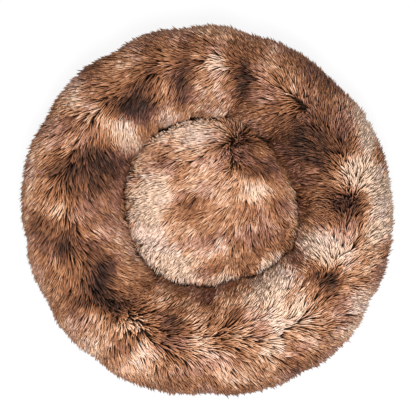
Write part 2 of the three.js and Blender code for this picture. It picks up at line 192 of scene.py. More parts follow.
# %% Sizes and waves of the bed
BED_RADIUS = 297 * MM
WELL_RADIUS = 143 * MM
RING_MIDDLE = 220 * MM
RING_WIDTH = BED_RADIUS - WELL_RADIUS
WELL_CENTRE = (5 * MM, 10 * MM)
HEM = 12 * MM
WELL_HEM = 4.6 * MM
WINDOW_TOP = 36.3 * MM
SEAM = 40 * MM
ZIP_LOW = 27.7 * MM
ZIP_HIGH = 52.3 * MM
CUSHION_SIDE = 100 * MM
CUSHION_WAIST = 62 * MM
BACK = 90
BASE_ZIP_HALF = 45
CUSHION_ZIP_HALF = 40
GATHERS = (7.5, 45, 75, 97.5, 120, 150, 187.5, 210, 232.5, 270, 300, 330)
GATHER_DEPTHS = (0.03, 0.07, 0.09, 0.06, 0.07, 0.08, 0.04, 0.05, 0.08, 0.07, 0.05, 0.07)
GATHER_SPREAD = 6
WELL_WAVES = ((2, 0.0245, -24.5), (3, 0.03, -19), (4, 0.0245, -27))
RIM_WAVES = ((1, 0.011, -95), (2, 0.011, -45), (3, 0.004, -14.5), (4, 0.004, -42), (5, 0.006, 17))
print("well radius:", WELL_RADIUS, "gathers:", len(GATHERS))

# %% [markdown]
# Each form is first turned plain and round, and then its points are moved: the gathers draw the
# fabric in, and slow waves round the ring make the well and the rim a little uneven, as hand-filled
# fabric is. The plain points are kept, since heights and turns are easiest to tell on them.

# %% Helpers: from plain and round to uneven
def rise(value, start, end):
    """0 before start, 1 after end and smooth between them."""
    share = np.clip((value - start) / (end - start), 0, 1)
    return share * share * (3 - 2 * share)


def wave(turn, waves):
    """The sum of a few cosine waves round the ring."""
    return sum(depth * np.cos(count * (turn - math.radians(crest))) for count, depth, crest in waves)


def degrees_between(turn, direction):
    """How far an angle in radians is from a direction in degrees, in degrees."""
    return np.abs((np.degrees(turn) - direction + 180) % 360 - 180)


def turns_and_radii(points):
    """The turn about Z in radians and the distance from the Z axis."""
    return np.arctan2(points[:, 1], points[:, 0]), np.hypot(points[:, 0], points[:, 1])


print("waves round the well:", len(WELL_WAVES), "and round the rim:", len(RIM_WAVES))

# %% [markdown]
# The bolster's fabric is drawn towards the middle of its section at each gather. Its well follows
# one set of waves and its rim another, and both fade out towards the hem. The cushion is as uneven
# as the well that it lies in.

# %% Helpers: bolster and cushion in place
def place_on_bolster(points):
    """Moves the points of a plain turned ring to where the bolster's fabric is."""
    turn, radius = turns_and_radii(points)
    height = points[:, 2]
    rim_rise = rise(height, WINDOW_TOP, WAIST)
    pull = np.zeros(len(points))
    for direction, depth in zip(GATHERS, GATHER_DEPTHS):
        away = degrees_between(turn, direction) / GATHER_SPREAD
        pull = np.maximum(pull, depth * np.exp(-away * away))
    pull = pull * rim_rise
    pulled_radius = RING_MIDDLE + (radius - RING_MIDDLE) * (1 - pull)
    pulled_height = WAIST + (height - WAIST) * (1 - pull)
    inward = 1 - rise((radius - WELL_RADIUS) / RING_WIDTH, 0.1, 0.8)
    well_wave = WELL_RADIUS * wave(turn, WELL_WAVES) * rise(height, HEM, SEAM)
    rim_wave = BED_RADIUS * wave(turn, RIM_WAVES) * rim_rise
    reach = pulled_radius + inward * well_wave + (1 - inward) * rim_wave
    x = inward * WELL_CENTRE[0] + reach * np.cos(turn)
    y = inward * WELL_CENTRE[1] + reach * np.sin(turn)
    return np.column_stack((x, y, pulled_height))


def place_on_cushion(points):
    """Moves the points of a plain turned pad to where the cushion's fabric is."""
    turn, _ = turns_and_radii(points)
    share = 1 + wave(turn, WELL_WAVES) * rise(points[:, 2], SEAM, CUSHION_WAIST)
    x = WELL_CENTRE[0] + points[:, 0] * share
    y = WELL_CENTRE[1] + points[:, 1] * share
    return np.column_stack((x, y, points[:, 2]))


def section(middle, waist, half_width, top, bottom, upper, lower, start, end, steps):
    """Points (radius, height) of a rounded section between two turns, finely spaced.

    The powers say how square it is above and below the waist: 2 is round.
    """
    turn = np.radians(np.linspace(start, end, steps))
    up = np.sin(turn) >= 0
    power = np.where(up, 2 / upper, 2 / lower)
    reach = np.where(up, top - waist, waist - bottom)
    radius = middle + half_width * np.sign(np.cos(turn)) * np.abs(np.cos(turn)) ** power
    height = waist + reach * np.sign(np.sin(turn)) * np.abs(np.sin(turn)) ** power
    return np.column_stack((radius, height))


print("middle of the well:", [round(value / MM) for value in WELL_CENTRE], "mm")

# %% [markdown]
# An operator works on whatever is selected, so each step first selects its piece, and in edit mode
# all, some or none of its faces. A copy gets a mesh of its own.

# %% Helpers: choose, copy and edit pieces
def pick(piece):
    """Makes one object the only selected one and the active one."""
    bpy.ops.object.select_all(action="DESELECT")
    piece.select_set(True)
    bpy.context.view_layer.objects.active = piece


def points_of(piece):
    """The points of a mesh as rows of x, y and z."""
    points = np.empty(len(piece.data.vertices) * 3)
    piece.data.vertices.foreach_get("co", points)
    return points.reshape(-1, 3)


def move_points(piece, points):
    """Puts the points of a mesh at new places."""
    piece.data.vertices.foreach_set("co", np.ascontiguousarray(points, dtype=np.float64).ravel())
    piece.data.update()


@contextlib.contextmanager
def editing(piece, kind="FACE", action="SELECT"):
    """Edit mode on one piece, with all or nothing of it selected, and object mode again after."""
    pick(piece)
    bpy.ops.object.mode_set(mode="EDIT")
    bpy.ops.mesh.select_mode(type=kind)
    bpy.ops.mesh.select_all(action=action)
    yield bmesh.from_edit_mesh(piece.data)
    bpy.ops.object.mode_set(mode="OBJECT")


def select_where(piece, parts, flags):
    """Selects the faces or edges for which a row of flags says so."""
    for part, chosen in zip(parts, flags):
        part.select = bool(chosen)
    bmesh.update_edit_mesh(piece.data)


def linked(piece):
    """Puts a new object into the scene."""
    bpy.context.collection.objects.link(piece)
    return piece


def copy_piece(piece, name):
    """A copy of an object with its own mesh."""
    twin = piece.copy()
    twin.data = piece.data.copy()
    twin.name = name
    twin.data.name = name
    return linked(twin)


print("piece helpers ready")

# %% [markdown]
# A turned form starts as a flat outline, which Spin then turns about the upright axis. The outline
# is cut into even steps, and it has a point at each height where a hem or a zip will cut the
# cloth, so that those edges come out clean.

# %% Helpers: turn an outline into a form
DOUBLES = 0.01 * MM


def even_outline(curve, cuts, step):
    """Points along a curve at even steps, with one at each place in cuts."""
    marks = sorted({0, len(curve) - 1, *(int(np.argmin(np.abs(test(curve)))) for test in cuts)})
    picked = []
    for first, last in zip(marks, marks[1:]):
        part = curve[first:last + 1]
        along = np.concatenate(([0], np.cumsum(np.hypot(*np.diff(part, axis=0).T))))
        count = max(1, round(along[-1] / step))
        wanted = np.linspace(0, along[-1], count + 1)[:-1]
        picked.append(np.column_stack([np.interp(wanted, along, part[:, k]) for k in (0, 1)]))
    return np.vstack((*picked, curve[-1:]))


def turned_form(name, outline, columns, first=0, sweep=360, closed=True):
    """Spins an outline of (radius, height) points clockwise about the Z axis."""
    bpy.ops.object.select_all(action="DESELECT")
    bpy.ops.mesh.primitive_circle_add(vertices=len(outline), radius=0.1)
    piece = bpy.context.object
    piece.name = name
    turn = math.radians(first)
    flat = [(r * math.cos(turn), r * math.sin(turn), h) for r, h in outline]
    move_points(piece, np.array(flat))
    if not closed:
        with editing(piece, "EDGE", "DESELECT") as edit:
            edit.verts.ensure_lookup_table()
            ends = {edit.verts[0], edit.verts[-1]}
            select_where(piece, edit.edges, [set(edge.verts) == ends for edge in edit.edges])
            bpy.ops.mesh.delete(type="EDGE")
    with editing(piece, "VERT"):
        if closed and sweep < 360:
            bpy.ops.mesh.edge_face_add()
        bpy.ops.mesh.spin(steps=columns, angle=math.radians(sweep), center=(0, 0, 0), axis=(0, 0, 1))
        bpy.ops.mesh.select_all(action="SELECT")
        bpy.ops.mesh.remove_doubles(threshold=DOUBLES)
        bpy.ops.mesh.normals_make_consistent(inside=False)
    return piece


def cut_at(height, low=0, high=1):
    """A test for even_outline: the place at a height, between two radii."""
    def apart(curve):
        within = (curve[:, 0] > low) & (curve[:, 0] < high)
        return np.where(within, curve[:, 1] - height, 1)
    return apart


print("doubles merge within", round(DOUBLES / MM, 2), "mm")

# %% [markdown]
# A real bolster is a cloth tube that is stuffed until it is firm. Blender's Cloth does the same:
# pressure pushes the cloth out, and it stays held along its gathers, where the cover is drawn in,
# and low down, where it is sewn to the base. The form starts at its unstuffed size, and no point
# may move further than the cloth gives, so that the ring keeps the size of the CAD model.

# %% Helpers: stuff a form by simulation
PRESSURE = 5
SWELL_FRAMES = 20


def swell(piece, held):
    """Runs Cloth pressure on a closed form with some points held. Returns how each point moves."""
    before = points_of(piece)
    group = piece.vertex_groups.new(name="held")
    group.add([int(k) for k in np.flatnonzero(held)], 1, "REPLACE")
    pick(piece)
    bpy.ops.object.modifier_add(type="CLOTH")
    cloth = piece.modifiers[-1]
    cloth.settings.use_pressure = True
    cloth.settings.uniform_pressure_force = PRESSURE
    cloth.settings.vertex_group_mass = "held"
    cloth.settings.effector_weights.gravity = 0
    cloth.settings.quality = 4
    for step in range(1, SWELL_FRAMES + 1):
        bpy.context.scene.frame_set(step)
    bpy.ops.object.modifier_apply(modifier=cloth.name)
    bpy.context.scene.frame_set(1)
    piece.vertex_groups.clear()
    return points_of(piece) - before


def capped(moves, give):
    """Moves that level off at the way that the cloth gives."""
    reach = np.linalg.norm(moves, axis=1)
    return moves * (give * np.tanh(reach / give) / np.maximum(reach, TINY))[:, None]


print("pressure:", PRESSURE, "frames:", SWELL_FRAMES)

# %% [markdown]
# The bolster's section is nearly a circle on top and squarer below, where it rests on its base. It
# is spun into a ring, drawn in at its gathers and moved about by the waves, and only then stuffed.

# %% Stuff the bolster
BOLSTER_GIVE = 8 * MM
GATHER_HALF = 0.9
HELD_MARGIN = 1 * MM
bolster_curve = section(
    RING_MIDDLE, WAIST, half_width=59 * MM, top=157 * MM, bottom=1.7 * MM,
    upper=2.2, lower=3.6, start=-90, end=270, steps=2881,
)
bolster_cuts = (
    cut_at(HEM, low=RING_MIDDLE), cut_at(WINDOW_TOP, low=RING_MIDDLE), cut_at(WELL_HEM, high=RING_MIDDLE)
)
bolster_outline = even_outline(bolster_curve, bolster_cuts, step=7 * MM)[:-1]
bolster_form = turned_form("bolster_form", bolster_outline, columns=288)
bolster_plain = points_of(bolster_form)
move_points(bolster_form, place_on_bolster(bolster_plain))


def bolster_held(plain):
    """The base, the zip's window and the drawn-in gathers, told on the plain ring."""
    turn, radius = turns_and_radii(plain)
    height = plain[:, 2]
    at_zip = (degrees_between(turn, BACK) < BASE_ZIP_HALF + 1) & (radius > RING_MIDDLE)
    keep = (height < HEM + HELD_MARGIN) | (at_zip & (height < WINDOW_TOP + HELD_MARGIN))
    for direction in GATHERS:
        keep |= (degrees_between(turn, direction) < GATHER_HALF) & (height > WAIST)
    return keep


bolster_flat = points_of(bolster_form)
moves = capped(swell(bolster_form, bolster_held(bolster_plain)), BOLSTER_GIVE)
move_points(bolster_form, bolster_flat + moves)
print("bolster swelled by up to", round(float(np.abs(moves).max()) / MM, 1), "mm")
print("bolster form:", len(bolster_form.data.polygons), "faces")

# %% [markdown]
# The cushion is a round pad with a seam round its side, where it stays held. The simulation needs
# faces of one size, and a turned pad has slivers in its middle, so a remeshed copy is stuffed
# instead, and its moves are brought back to the pad.

# %% Form of the cushion
cushion_low = section(
    0, SEAM, half_width=128 * MM, top=0.1, bottom=4.6 * MM, upper=2.2, lower=3, start=-90, end=0, steps=600
)
cushion_high = section(
    0, CUSHION_WAIST, half_width=126 * MM, top=82 * MM, bottom=0,
    upper=2.2, lower=3, start=0, end=90, steps=600,
)
cushion_curve = np.vstack((cushion_low, cushion_high))
cushion_cuts = [cut_at(height, low=CUSHION_SIDE) for height in (ZIP_LOW, SEAM, ZIP_HIGH)]
cushion_outline = even_outline(cushion_curve, cushion_cuts, step=6 * MM)
cushion_outline[[0, -1], 0] = 0
cushion_form = turned_form("cushion_form", cushion_outline, columns=144, closed=False)
cushion_plain = points_of(cushion_form)
move_points(cushion_form, place_on_cushion(cushion_plain))
print("cushion form:", len(cushion_form.data.polygons), "faces")

# %% [markdown]
# The seam is held in a narrow band round the side, and the underside is held because it lies on
# the floor of the well.

# %% Stuff the cushion
CUSHION_GIVE = 7 * MM
VOXEL = 5 * MM
HELD_UNDERSIDE = 6 * MM
HELD_SEAM = 2.6 * MM
HELD_WINDOW = 2 * MM
NEAREST = 4
NEAR_ENOUGH = 0.5 * MM


def cushion_held(points):
    """The flat underside, the seam and the zip's window, on the remeshed pad."""
    turn, radius = turns_and_radii(points - (*WELL_CENTRE, 0))
    height = points[:, 2]
    at_zip = (degrees_between(turn, BACK) < CUSHION_ZIP_HALF + 1) & (radius > CUSHION_SIDE)
    in_window = at_zip & (height > ZIP_LOW - HELD_WINDOW) & (height < ZIP_HIGH + HELD_WINDOW)
    return (height < HELD_UNDERSIDE) | (np.abs(height - SEAM) < HELD_SEAM) | in_window


def moves_between(places, moves, wanted):
    """The moves at other places: each is a mean of the four nearest, the nearer the heavier."""
    tree = kdtree.KDTree(len(places))
    for number, place in enumerate(places):
        tree.insert(place, number)
    tree.balance()
    result = np.empty_like(wanted)
    for number, place in enumerate(wanted):
        near = tree.find_n(place, NEAREST)
        weights = np.array([1 / (found[2] + NEAR_ENOUGH) for found in near])
        result[number] = weights @ moves[[found[1] for found in near]] / weights.sum()
    return result


pad = copy_piece(cushion_form, "pad")
pick(pad)
bpy.ops.object.modifier_add(type="REMESH")
pad.modifiers[-1].mode = "VOXEL"
pad.modifiers[-1].voxel_size = VOXEL
bpy.ops.object.modifier_apply(modifier=pad.modifiers[-1].name)
pad_flat = points_of(pad)
moves = capped(swell(pad, cushion_held(pad_flat)), CUSHION_GIVE)
cushion_flat = points_of(cushion_form)
move_points(cushion_form, cushion_flat + moves_between(pad_flat, moves, cushion_flat))
bpy.data.objects.remove(pad)
print("cushion swelled by up to", round(float(np.abs(moves).max()) / MM, 1), "mm")
print("points of the cushion:", len(cushion_plain))

# %% [markdown]
# The bolster's cover is a skin of backing cloth that is open underneath, where the base is sewn in,
# and at the back, where the zip is. It is cut from the stuffed form: the faces below the hem and in
# the window go, and Solidify gives the cloth its thickness. Beneath the pile hardly any of it shows,
# and where it does, its near-black colour is painted shade between the locks.

# %% Helpers: cut and thicken cloth
CLOTH = 1.2 * MM


def delete_faces(piece, doomed):
    """Deletes the faces for which a row of flags says so."""
    with editing(piece, "FACE", "DESELECT") as edit:
        select_where(piece, edit.faces, doomed)
        bpy.ops.mesh.delete(type="FACE")


def thicken(piece, thickness):
    """Gives a cloth its thickness, on its inner side."""
    pick(piece)
    bpy.ops.object.modifier_add(type="SOLIDIFY")
    piece.modifiers[-1].thickness = thickness
    piece.modifiers[-1].offset = -1
    bpy.ops.object.modifier_apply(modifier=piece.modifiers[-1].name)
    bpy.ops.object.shade_smooth()


def face_middles(piece, points):
    """The middle of each face, worked out with other places for its points."""
    return np.array([points[list(face.vertices)].mean(axis=0) for face in piece.data.polygons])


def bolster_open(middles):
    """True below the hem and in the zip's window, on the plain turned ring."""
    turn, radius = turns_and_radii(middles)
    outer = radius > RING_MIDDLE
    in_window = outer & (degrees_between(turn, BACK) < BASE_ZIP_HALF) & (middles[:, 2] < WINDOW_TOP)
    return (middles[:, 2] < np.where(outer, HEM, WELL_HEM)) | in_window


def cushion_window(middles):
    """True in the window of the cushion's zip, on the plain turned pad."""
    turn, radius = turns_and_radii(middles)
    at_zip = degrees_between(turn, BACK) < CUSHION_ZIP_HALF
    return at_zip & (radius > CUSHION_SIDE) & (middles[:, 2] > ZIP_LOW) & (middles[:, 2] < ZIP_HIGH)


print("cloth:", round(CLOTH / MM, 1), "mm thick")

# %% [markdown]
# Which faces go is told by their middles on the plain turned forms. The cushion's cover is two skins
# that meet at the seam round its side: long pile above, knit below, and the zip between them.

# %% Skins
bolster_skin = copy_piece(bolster_form, "bolster_skin")
delete_faces(bolster_skin, bolster_open(face_middles(bolster_form, bolster_plain)))
thicken(bolster_skin, CLOTH)
cushion_middles = face_middles(cushion_form, cushion_plain)
in_zip = cushion_window(cushion_middles)
cushion_top_skin = copy_piece(cushion_form, "cushion_top_skin")
delete_faces(cushion_top_skin, (cushion_middles[:, 2] < SEAM) | in_zip)
thicken(cushion_top_skin, CLOTH)
cushion_underside = copy_piece(cushion_form, "cushion_underside")
delete_faces(cushion_underside, (cushion_middles[:, 2] > SEAM) | in_zip)
thicken(cushion_underside, CLOTH)
print("skins:", [len(p.data.polygons) for p in (bolster_skin, cushion_top_skin, cushion_underside)])

# %% [markdown]
# Long pile lies in flat tapered locks, each a small bundle of fibres. One lock is modelled here as
# a cone of three sides that is widened twice on its way up, so it takes sixteen triangles. It is
# planted more than fifty thousand times, and each copy is bent, since a real lock leaves the
# cloth steeply and then leans over. Hair curves would look as fine, but they can't be exported.

# %% One lock of pile
LOCK_BEND = 0.34
LOCK_SHOULDER = 0.74
LOCK_WIDENING = ((LOCK_BEND, 1.7), (LOCK_SHOULDER, 2))
bpy.ops.object.select_all(action="DESELECT")
bpy.ops.mesh.primitive_cone_add(vertices=3, radius1=0.42, radius2=0, depth=1, location=(0, 0, 0.5))
lock = bpy.context.object
lock.name = "lock"
bpy.ops.object.transform_apply(location=True, rotation=True, scale=True)
with editing(lock):
    for height, wider in LOCK_WIDENING:
        bpy.ops.mesh.select_all(action="SELECT")
        bpy.ops.mesh.bisect(plane_co=(0, 0, height), plane_no=(0, 0, 1))
        bpy.ops.transform.resize(value=(wider, wider, 1))
    bpy.ops.mesh.select_all(action="SELECT")
    bpy.ops.transform.resize(value=(1.25, 0.8, 1), center_override=(0, 0, 0))
lock_points = points_of(lock)
lock_faces = [tuple(face.vertices) for face in lock.data.polygons]
bpy.data.objects.remove(lock)
print("lock:", len(lock_points), "points,", len(lock_faces), "faces")

# %% [markdown]
# The pile is combed every way by hands and by use, and that gives the bed most of its looks. The
# tables hold strokes of a comb: a place in millimetres and the way the tips point, in degrees from
# +X. Where strokes meet head on, the pile parts and shows its dark roots, and where they leave a
# place all round, a whorl opens.

# %% Strokes of the comb
BOLSTER_STROKES = (
    (-235, 176, 205), (-243, 112, 210), (-203, 128, 230), (-171, 126, 245), (-120, 126, 272),
    (-107, 112, 280), (-145, 99, 300), (-120, 252, 152), (-96, 275, 150), (-70, 252, 155),
    (-43, 252, 165), (-11, 284, 132), (-145, 228, 165), (-120, 228, 180), (-69, 227, 190),
    (-18, 227, 182), (-171, 201, 188), (-120, 201, 213), (-94, 201, 218), (-70, 201, 237),
    (-18, 201, 213), (-145, 176, 213), (-120, 176, 228), (-94, 176, 235), (-70, 176, 263),
    (-43, 176, 252), (-18, 176, 235), (-94, 150, 255), (-43, 150, 243), (34, 278, 135), (34, 252, 138),
    (59, 252, 135), (85, 255, 120), (85, 227, 140), (110, 227, 125), (136, 227, 105), (8, 227, 195),
    (8, 201, 205), (34, 201, 225), (59, 201, 185), (85, 201, 170), (8, 176, 220), (34, 176, 235),
    (59, 176, 225), (85, 176, 185), (34, 150, 218), (85, 150, 190), (110, 201, 138), (110, 176, 142),
    (136, 201, 115), (161, 201, 95), (185, 201, 105), (185, 176, 92), (212, 176, 85), (212, 150, 85),
    (236, 150, 70), (236, 124, 65), (110, 150, 180), (110, 124, 220), (136, 124, 218), (185, 124, 95),
    (172, 107, 125), (186, 97, 108), (136, 96, 172), (159, 99, 158), (236, 99, 60), (262, 99, 45),
    (136, 73, 195), (161, 73, 200), (185, 73, 165), (161, 48, 210), (185, 48, 155), (212, 48, 125),
    (236, 72, 85), (260, 61, 58), (276, 16, 20), (185, 16, 180), (161, -3, 185), (236, -3, 45),
    (262, -3, 38), (185, -29, 140), (212, -29, 90), (236, -29, 55), (262, -29, 42), (161, -54, 137),
    (185, -54, 105), (212, -54, 58), (262, -54, 30), (161, -80, 128), (212, -80, 40), (236, -105, 15),
    (212, -131, 12), (185, -131, 28), (-273, 72, 235), (-247, 72, 230), (-222, 75, 220), (-196, 75, 250),
    (-171, 72, 290), (-145, 72, 315), (-247, 48, 230), (-196, 48, 275), (-171, 48, 305), (-273, 22, 250),
    (-222, 22, 252), (-196, 22, 295), (-171, 22, 313), (-222, -3, 260), (-171, -3, 310), (-145, -3, 298),
    (-273, -54, 265), (-222, -54, 270), (-196, -54, 305), (-171, -54, 320), (-145, -54, 323),
    (-120, -54, 288), (-247, -80, 245), (-196, -80, 278), (-145, -80, 322), (-120, -80, 330),
    (-196, -105, 258), (-171, -105, 298), (-222, -144, 240), (-196, -144, 240), (-145, -131, 315),
    (-120, -131, 355), (-222, -182, 262), (-196, -200, 265), (-171, -207, 255), (-120, -215, 296),
    (-118, -175, 290), (-140, -180, 262), (-100, -179, 332), (-137, -157, 222), (-94, -207, 312),
    (-43, -207, 317), (-171, -233, 277), (-120, -233, 305), (-43, -233, 310), (-120, -259, 297),
    (-69, -259, 275), (-18, -259, 300), (-94, -156, 18), (-69, -156, 38), (-18, -156, 53),
    (-43, -131, 45), (-69, -182, 25), (-18, -182, 42), (-18, -207, 0), (8, -131, 60), (34, -131, 65),
    (85, -131, 62), (136, -131, 52), (8, -156, 63), (59, -156, 50), (110, -156, 45), (161, -156, 45),
    (59, -182, 38), (110, -182, 15), (161, -182, 10), (34, -207, 325), (59, -207, 335), (110, -207, 340),
    (161, -207, 330), (8, -233, 315), (59, -233, 318), (110, -233, 320), (161, -233, 310),
    (34, -259, 305), (136, -259, 305),
)
CUSHION_STROKES = (
    (34, 124, 200), (8, 124, 185), (-43, 124, 185), (-69, 124, 205), (-94, 99, 215), (-43, 99, 200),
    (8, 99, 205), (59, 99, 305), (85, 96, 300), (101, 64, 305), (110, 48, 315), (-94, 73, 182),
    (-43, 73, 208), (8, 73, 225), (-69, 48, 190), (-18, 48, 218), (-94, 22, 207), (85, 32, 285),
    (8, -3, 222), (59, -3, 250), (85, -3, 270), (110, -3, 310), (-94, -29, 230), (-43, -29, 225),
    (34, -29, 232), (8, -54, 215), (34, -54, 250), (59, -54, 295), (85, -54, 305), (-69, -64, 240),
    (8, -80, 230), (59, -80, 280), (136, -24, 315),
)
PLAIN_WEIGHT = 0.12


def combed(x, y, strokes, reach, otherwise):
    """The way the tips point at each place, and how far the near strokes agree on it.

    Where no stroke is near, the plain way counts.
    """
    total = PLAIN_WEIGHT * otherwise
    weight = PLAIN_WEIGHT
    for stroke_x, stroke_y, degrees in strokes:
        apart = (x - stroke_x * MM) ** 2 + (y - stroke_y * MM) ** 2
        near = np.exp(-apart / (2 * reach * reach))
        way = (math.cos(math.radians(degrees)), math.sin(math.radians(degrees)))
        total = total + near[:, None] * np.array(way)
        weight = weight + near
    size = np.linalg.norm(total, axis=1)
    return total / np.maximum(size, TINY)[:, None], size / weight


print("strokes:", len(BOLSTER_STROKES), "and", len(CUSHION_STROKES))

# %% [markdown]
# The pile is dyed in soft cloudy patches from near black to cream. The same patches also paint shade
# into the folds between the puffs, and paint light onto lips and rims that lie in shade. Each patch is
# an oval with a middle, two half lengths in millimetres, a turn in degrees and a number of tone steps,
# darker below 0 and lighter above. Between them every tuft and every lock differs a little from the next.

# %% Patches of tone, with painted shade and painted light
BOLSTER_PATCHES = (
    (-176, 64, 57, 38, 0, -3), (-235, 61, 35, 26, 0, -1), (-107, 176, 16, 35, 8, -2.5),
    (-93, 236, 13, 45, 0, -1.5), (-96, 128, 11, 19, 0, -1), (-41, 204, 14, 35, 0, -2.5),
    (-38, 255, 19, 19, 0, -1), (-37, 160, 11, 16, 0, -1), (53, 198, 14, 38, 0, -2.8),
    (57, 255, 24, 14, 0, -1), (168, 214, 43, 18, -38, -1.8), (161, 108, 62, 48, 0, -3.2),
    (212, 11, 35, 16, 0, -3), (156, 8, 38, 35, 0, -1.2), (193, -109, 18, 18, 0, -3),
    (161, -91, 16, 10, -30, -1.2), (-267, -24, 13, 19, 0, -2), (-220, -59, 26, 18, 0, -2.5),
    (-161, -112, 19, 45, 0, -2.8), (-155, -147, 51, 14, 0, -2.4), (-94, -117, 18, 14, 0, -2),
    (-51, -184, 16, 38, 0, -1.8), (2, -140, 13, 19, 0, -2), (48, -156, 11, 13, 0, -1),
    (21, -188, 8, 26, 20, -1), (-51, -279, 19, 10, 0, -1), (148, -251, 14, 14, 0, -1),
    (-190, 220, 16, 14, 0, -1.3), (-219, 131, 13, 16, 0, -1), (271, 86, 13, 11, 0, -1.6),
    (220, -172, 11, 11, 0, -1), (-211, -120, 26, 19, 0, -0.8), (-132, 124, 32, 18, -38, 3),
    (-209, 176, 14, 32, 30, 2), (-142, 227, 11, 11, 0, 0.5), (10, 227, 14, 19, 0, 1.6),
    (8, 188, 22, 41, 0, 1), (124, 187, 14, 13, 0, 1), (73, 160, 13, 14, 0, 0.5),
    (252, 140, 19, 38, 35, 2.5), (247, 64, 24, 19, -30, 4), (273, 37, 10, 16, 15, 3),
    (273, -3, 29, 41, 0, 3), (192, -59, 38, 18, -25, 3.5), (244, -56, 32, 41, 0, 1.8),
    (251, -144, 24, 19, 0, 3), (228, -192, 16, 22, -35, 1.6), (110, -144, 14, 54, 4, 3.2),
    (144, -144, 13, 24, -12, 2), (161, -184, 14, 35, 15, 1.2), (97, -227, 22, 18, 0, 1.6),
    (37, -255, 27, 14, -25, 2.4), (2, -207, 16, 29, 10, 1.6), (-107, -235, 35, 21, 35, 2.8),
    (-193, -207, 35, 19, 0, 2), (-177, -235, 22, 13, -35, 2), (-195, -176, 40, 11, 0, 0.8),
    (-230, -5, 19, 11, -10, 2), (-160, -35, 19, 8, 0, 0.9), (-278, 32, 14, 48, -5, 1.4),
    (-270, -96, 14, 41, 20, 1.3), (188, -168, 57, 67, 0, 0.8), (72, -163, 19, 35, 0, 1.2),
    (13, 287, 112, 10, 0, 0.8), (-128, 160, 42, 20, -29, -1.8), (42, 211, 42, 14, 90, -1.4),
    (-46, 188, 22, 12, 90, -1.1), (-171, 6, 44, 52, 0, -0.7), (-150, -98, 20, 32, 0, -1.1),
    (-123, -149, 26, 20, 0, -1.5), (-142, 68, 16, 15, 0, -1), (188, -92, 26, 14, 0, -1),
    (242, 4, 14, 34, 0, -0.8), (-187, 134, 32, 24, 0, 1), (-243, 150, 24, 26, 0, 1),
    (-262, 88, 30, 20, -30, 1), (228, 61, 30, 15, 0, 2.4), (252, 113, 14, 28, 10, 1.3),
    (281, 30, 10, 22, 0, 1.2), (168, -47, 18, 22, 0, 1.3), (205, -62, 16, 8, 0, 0.8),
    (124, 172, 20, 13, 0, 1), (-125, 226, 24, 15, 0, 0.8), (41, -199, 12, 26, 0, 0.9),
    (115, -193, 10, 32, 0, 0.9), (98, 255, 18, 13, 30, 0.8), (-174, -160, 9, 18, 0, 0.8),
    (105, -103, 28, 20, 30, 2.4), (-62, 141, 26, 9, 15, 1.6), (20, 144, 34, 9, 0, 1.1),
    (228, 62, 30, 18, 0, 1.6), (244, 112, 12, 22, 10, 0.9), (276, 26, 12, 20, 20, 0.8),
    (188, -56, 24, 14, -20, 0.8), (-211, 93, 24, 22, 20, 1.1), (-250, 72, 18, 14, 0, 0.6),
    (-139, 99, 26, 14, -15, 1.3), (-26, 168, 12, 24, 0, 0.9), (-123, 199, 20, 16, 0, 0.7),
    (-131, 155, 26, 13, -20, -1), (-3, 255, 15, 12, 0, -1), (28, 184, 24, 20, 0, -0.5),
    (132, 112, 20, 22, 0, -0.7), (-258, -48, 16, 26, 10, -1), (-211, -77, 24, 20, 30, -1),
    (-206, -152, 18, 16, 0, -1), (-131, -223, 24, 12, 15, -1.1), (-163, -243, 14, 12, 0, -1),
    (140, -223, 22, 14, 15, -1), (188, -220, 24, 16, 0, -1), (148, -250, 26, 12, 0, -0.8),
    (106, -106, 22, 16, 30, 1.6), (244, 60, 28, 18, -30, 2), (284, 8, 12, 28, 0, 2),
    (164, 16, 10, 28, 0, 0.8), (164, 70, 20, 12, 0, -0.8), (-125, -75, 16, 30, 25, 1),
    (-62, -135, 34, 14, -25, 1.2), (-8, -152, 26, 12, 0, 1.2), (52, -140, 30, 12, 10, 1),
    (108, -112, 24, 16, 35, 1), (135, -77, 6, 5, 30, -3), (-139, -93, 16, 16, 0, -1),
    (-43, -163, 16, 20, 0, -1.8), (96, 168, 10, 32, 0, -1), (-134, 140, 24, 15, 0, -1.6),
    (-107, -172, 20, 14, 0, 1.5), (-190, 168, 22, 16, 0, -0.8), (51, -156, 15, 14, 0, -1.8),
    (-83, 200, 10, 16, 0, -0.8), (238, -70, 26, 34, 0, -1.6), (-196, -205, 18, 22, 0, -1.3),
    (-122, -216, 22, 32, 0, -1.2), (40, -240, 40, 16, 15, -0.8), (-262, -85, 18, 20, 0, -0.8),
    (188, -92, 26, 12, 0, -0.8), (170, 160, 24, 14, 0, -0.8), (-258, 150, 16, 16, 0, -1.2),
    (-214, 123, 16, 14, 0, -0.7), (92, -170, 14, 26, 0, -0.9), (176, -182, 20, 16, 0, -0.8),
    (235, 165, 16, 22, 30, 1), (20, 285, 40, 12, 0, 0.8), (-139, 146, 22, 10, -10, -0.8),
    (-38, 168, 9, 12, 0, -1), (284, 28, 13, 30, 0, 1.8), (242, 58, 26, 12, -15, 1.6),
    (104, -114, 20, 9, 40, 1.2), (102, -110, 16, 12, 30, 1), (246, 112, 12, 18, 30, 0.8),
    (222, 62, 26, 10, 0, 1), (-160, -160, 18, 12, 30, 1), (-127, -188, 20, 13, 30, 1.2),
    (-123, 93, 14, 14, 0, 0.9), (-59, 136, 16, 10, 0, 0.8), (-212, 86, 14, 12, 0, 0.7),
    (-126, 180, 18, 12, 0, 0.8), (-252, -190, 24, 20, 0, -0.8), (0, -268, 40, 12, 0, -0.5),
    (158, -48, 12, 18, 0, 0.9), (-211, 118, 40, 12, -10, -0.7), (-128, 150, 22, 12, -10, -0.8),
    (190, 160, 22, 14, -10, 0.8), (184, 128, 16, 18, 0, 0.8), (52, -287, 30, 12, 0, -0.8),
    (212, -152, 16, 22, 0, -1), (284, -67, 14, 18, 0, -1), (236, -16, 24, 20, 0, -0.7),
    (-163, -152, 14, 16, 0, 0.8),
)
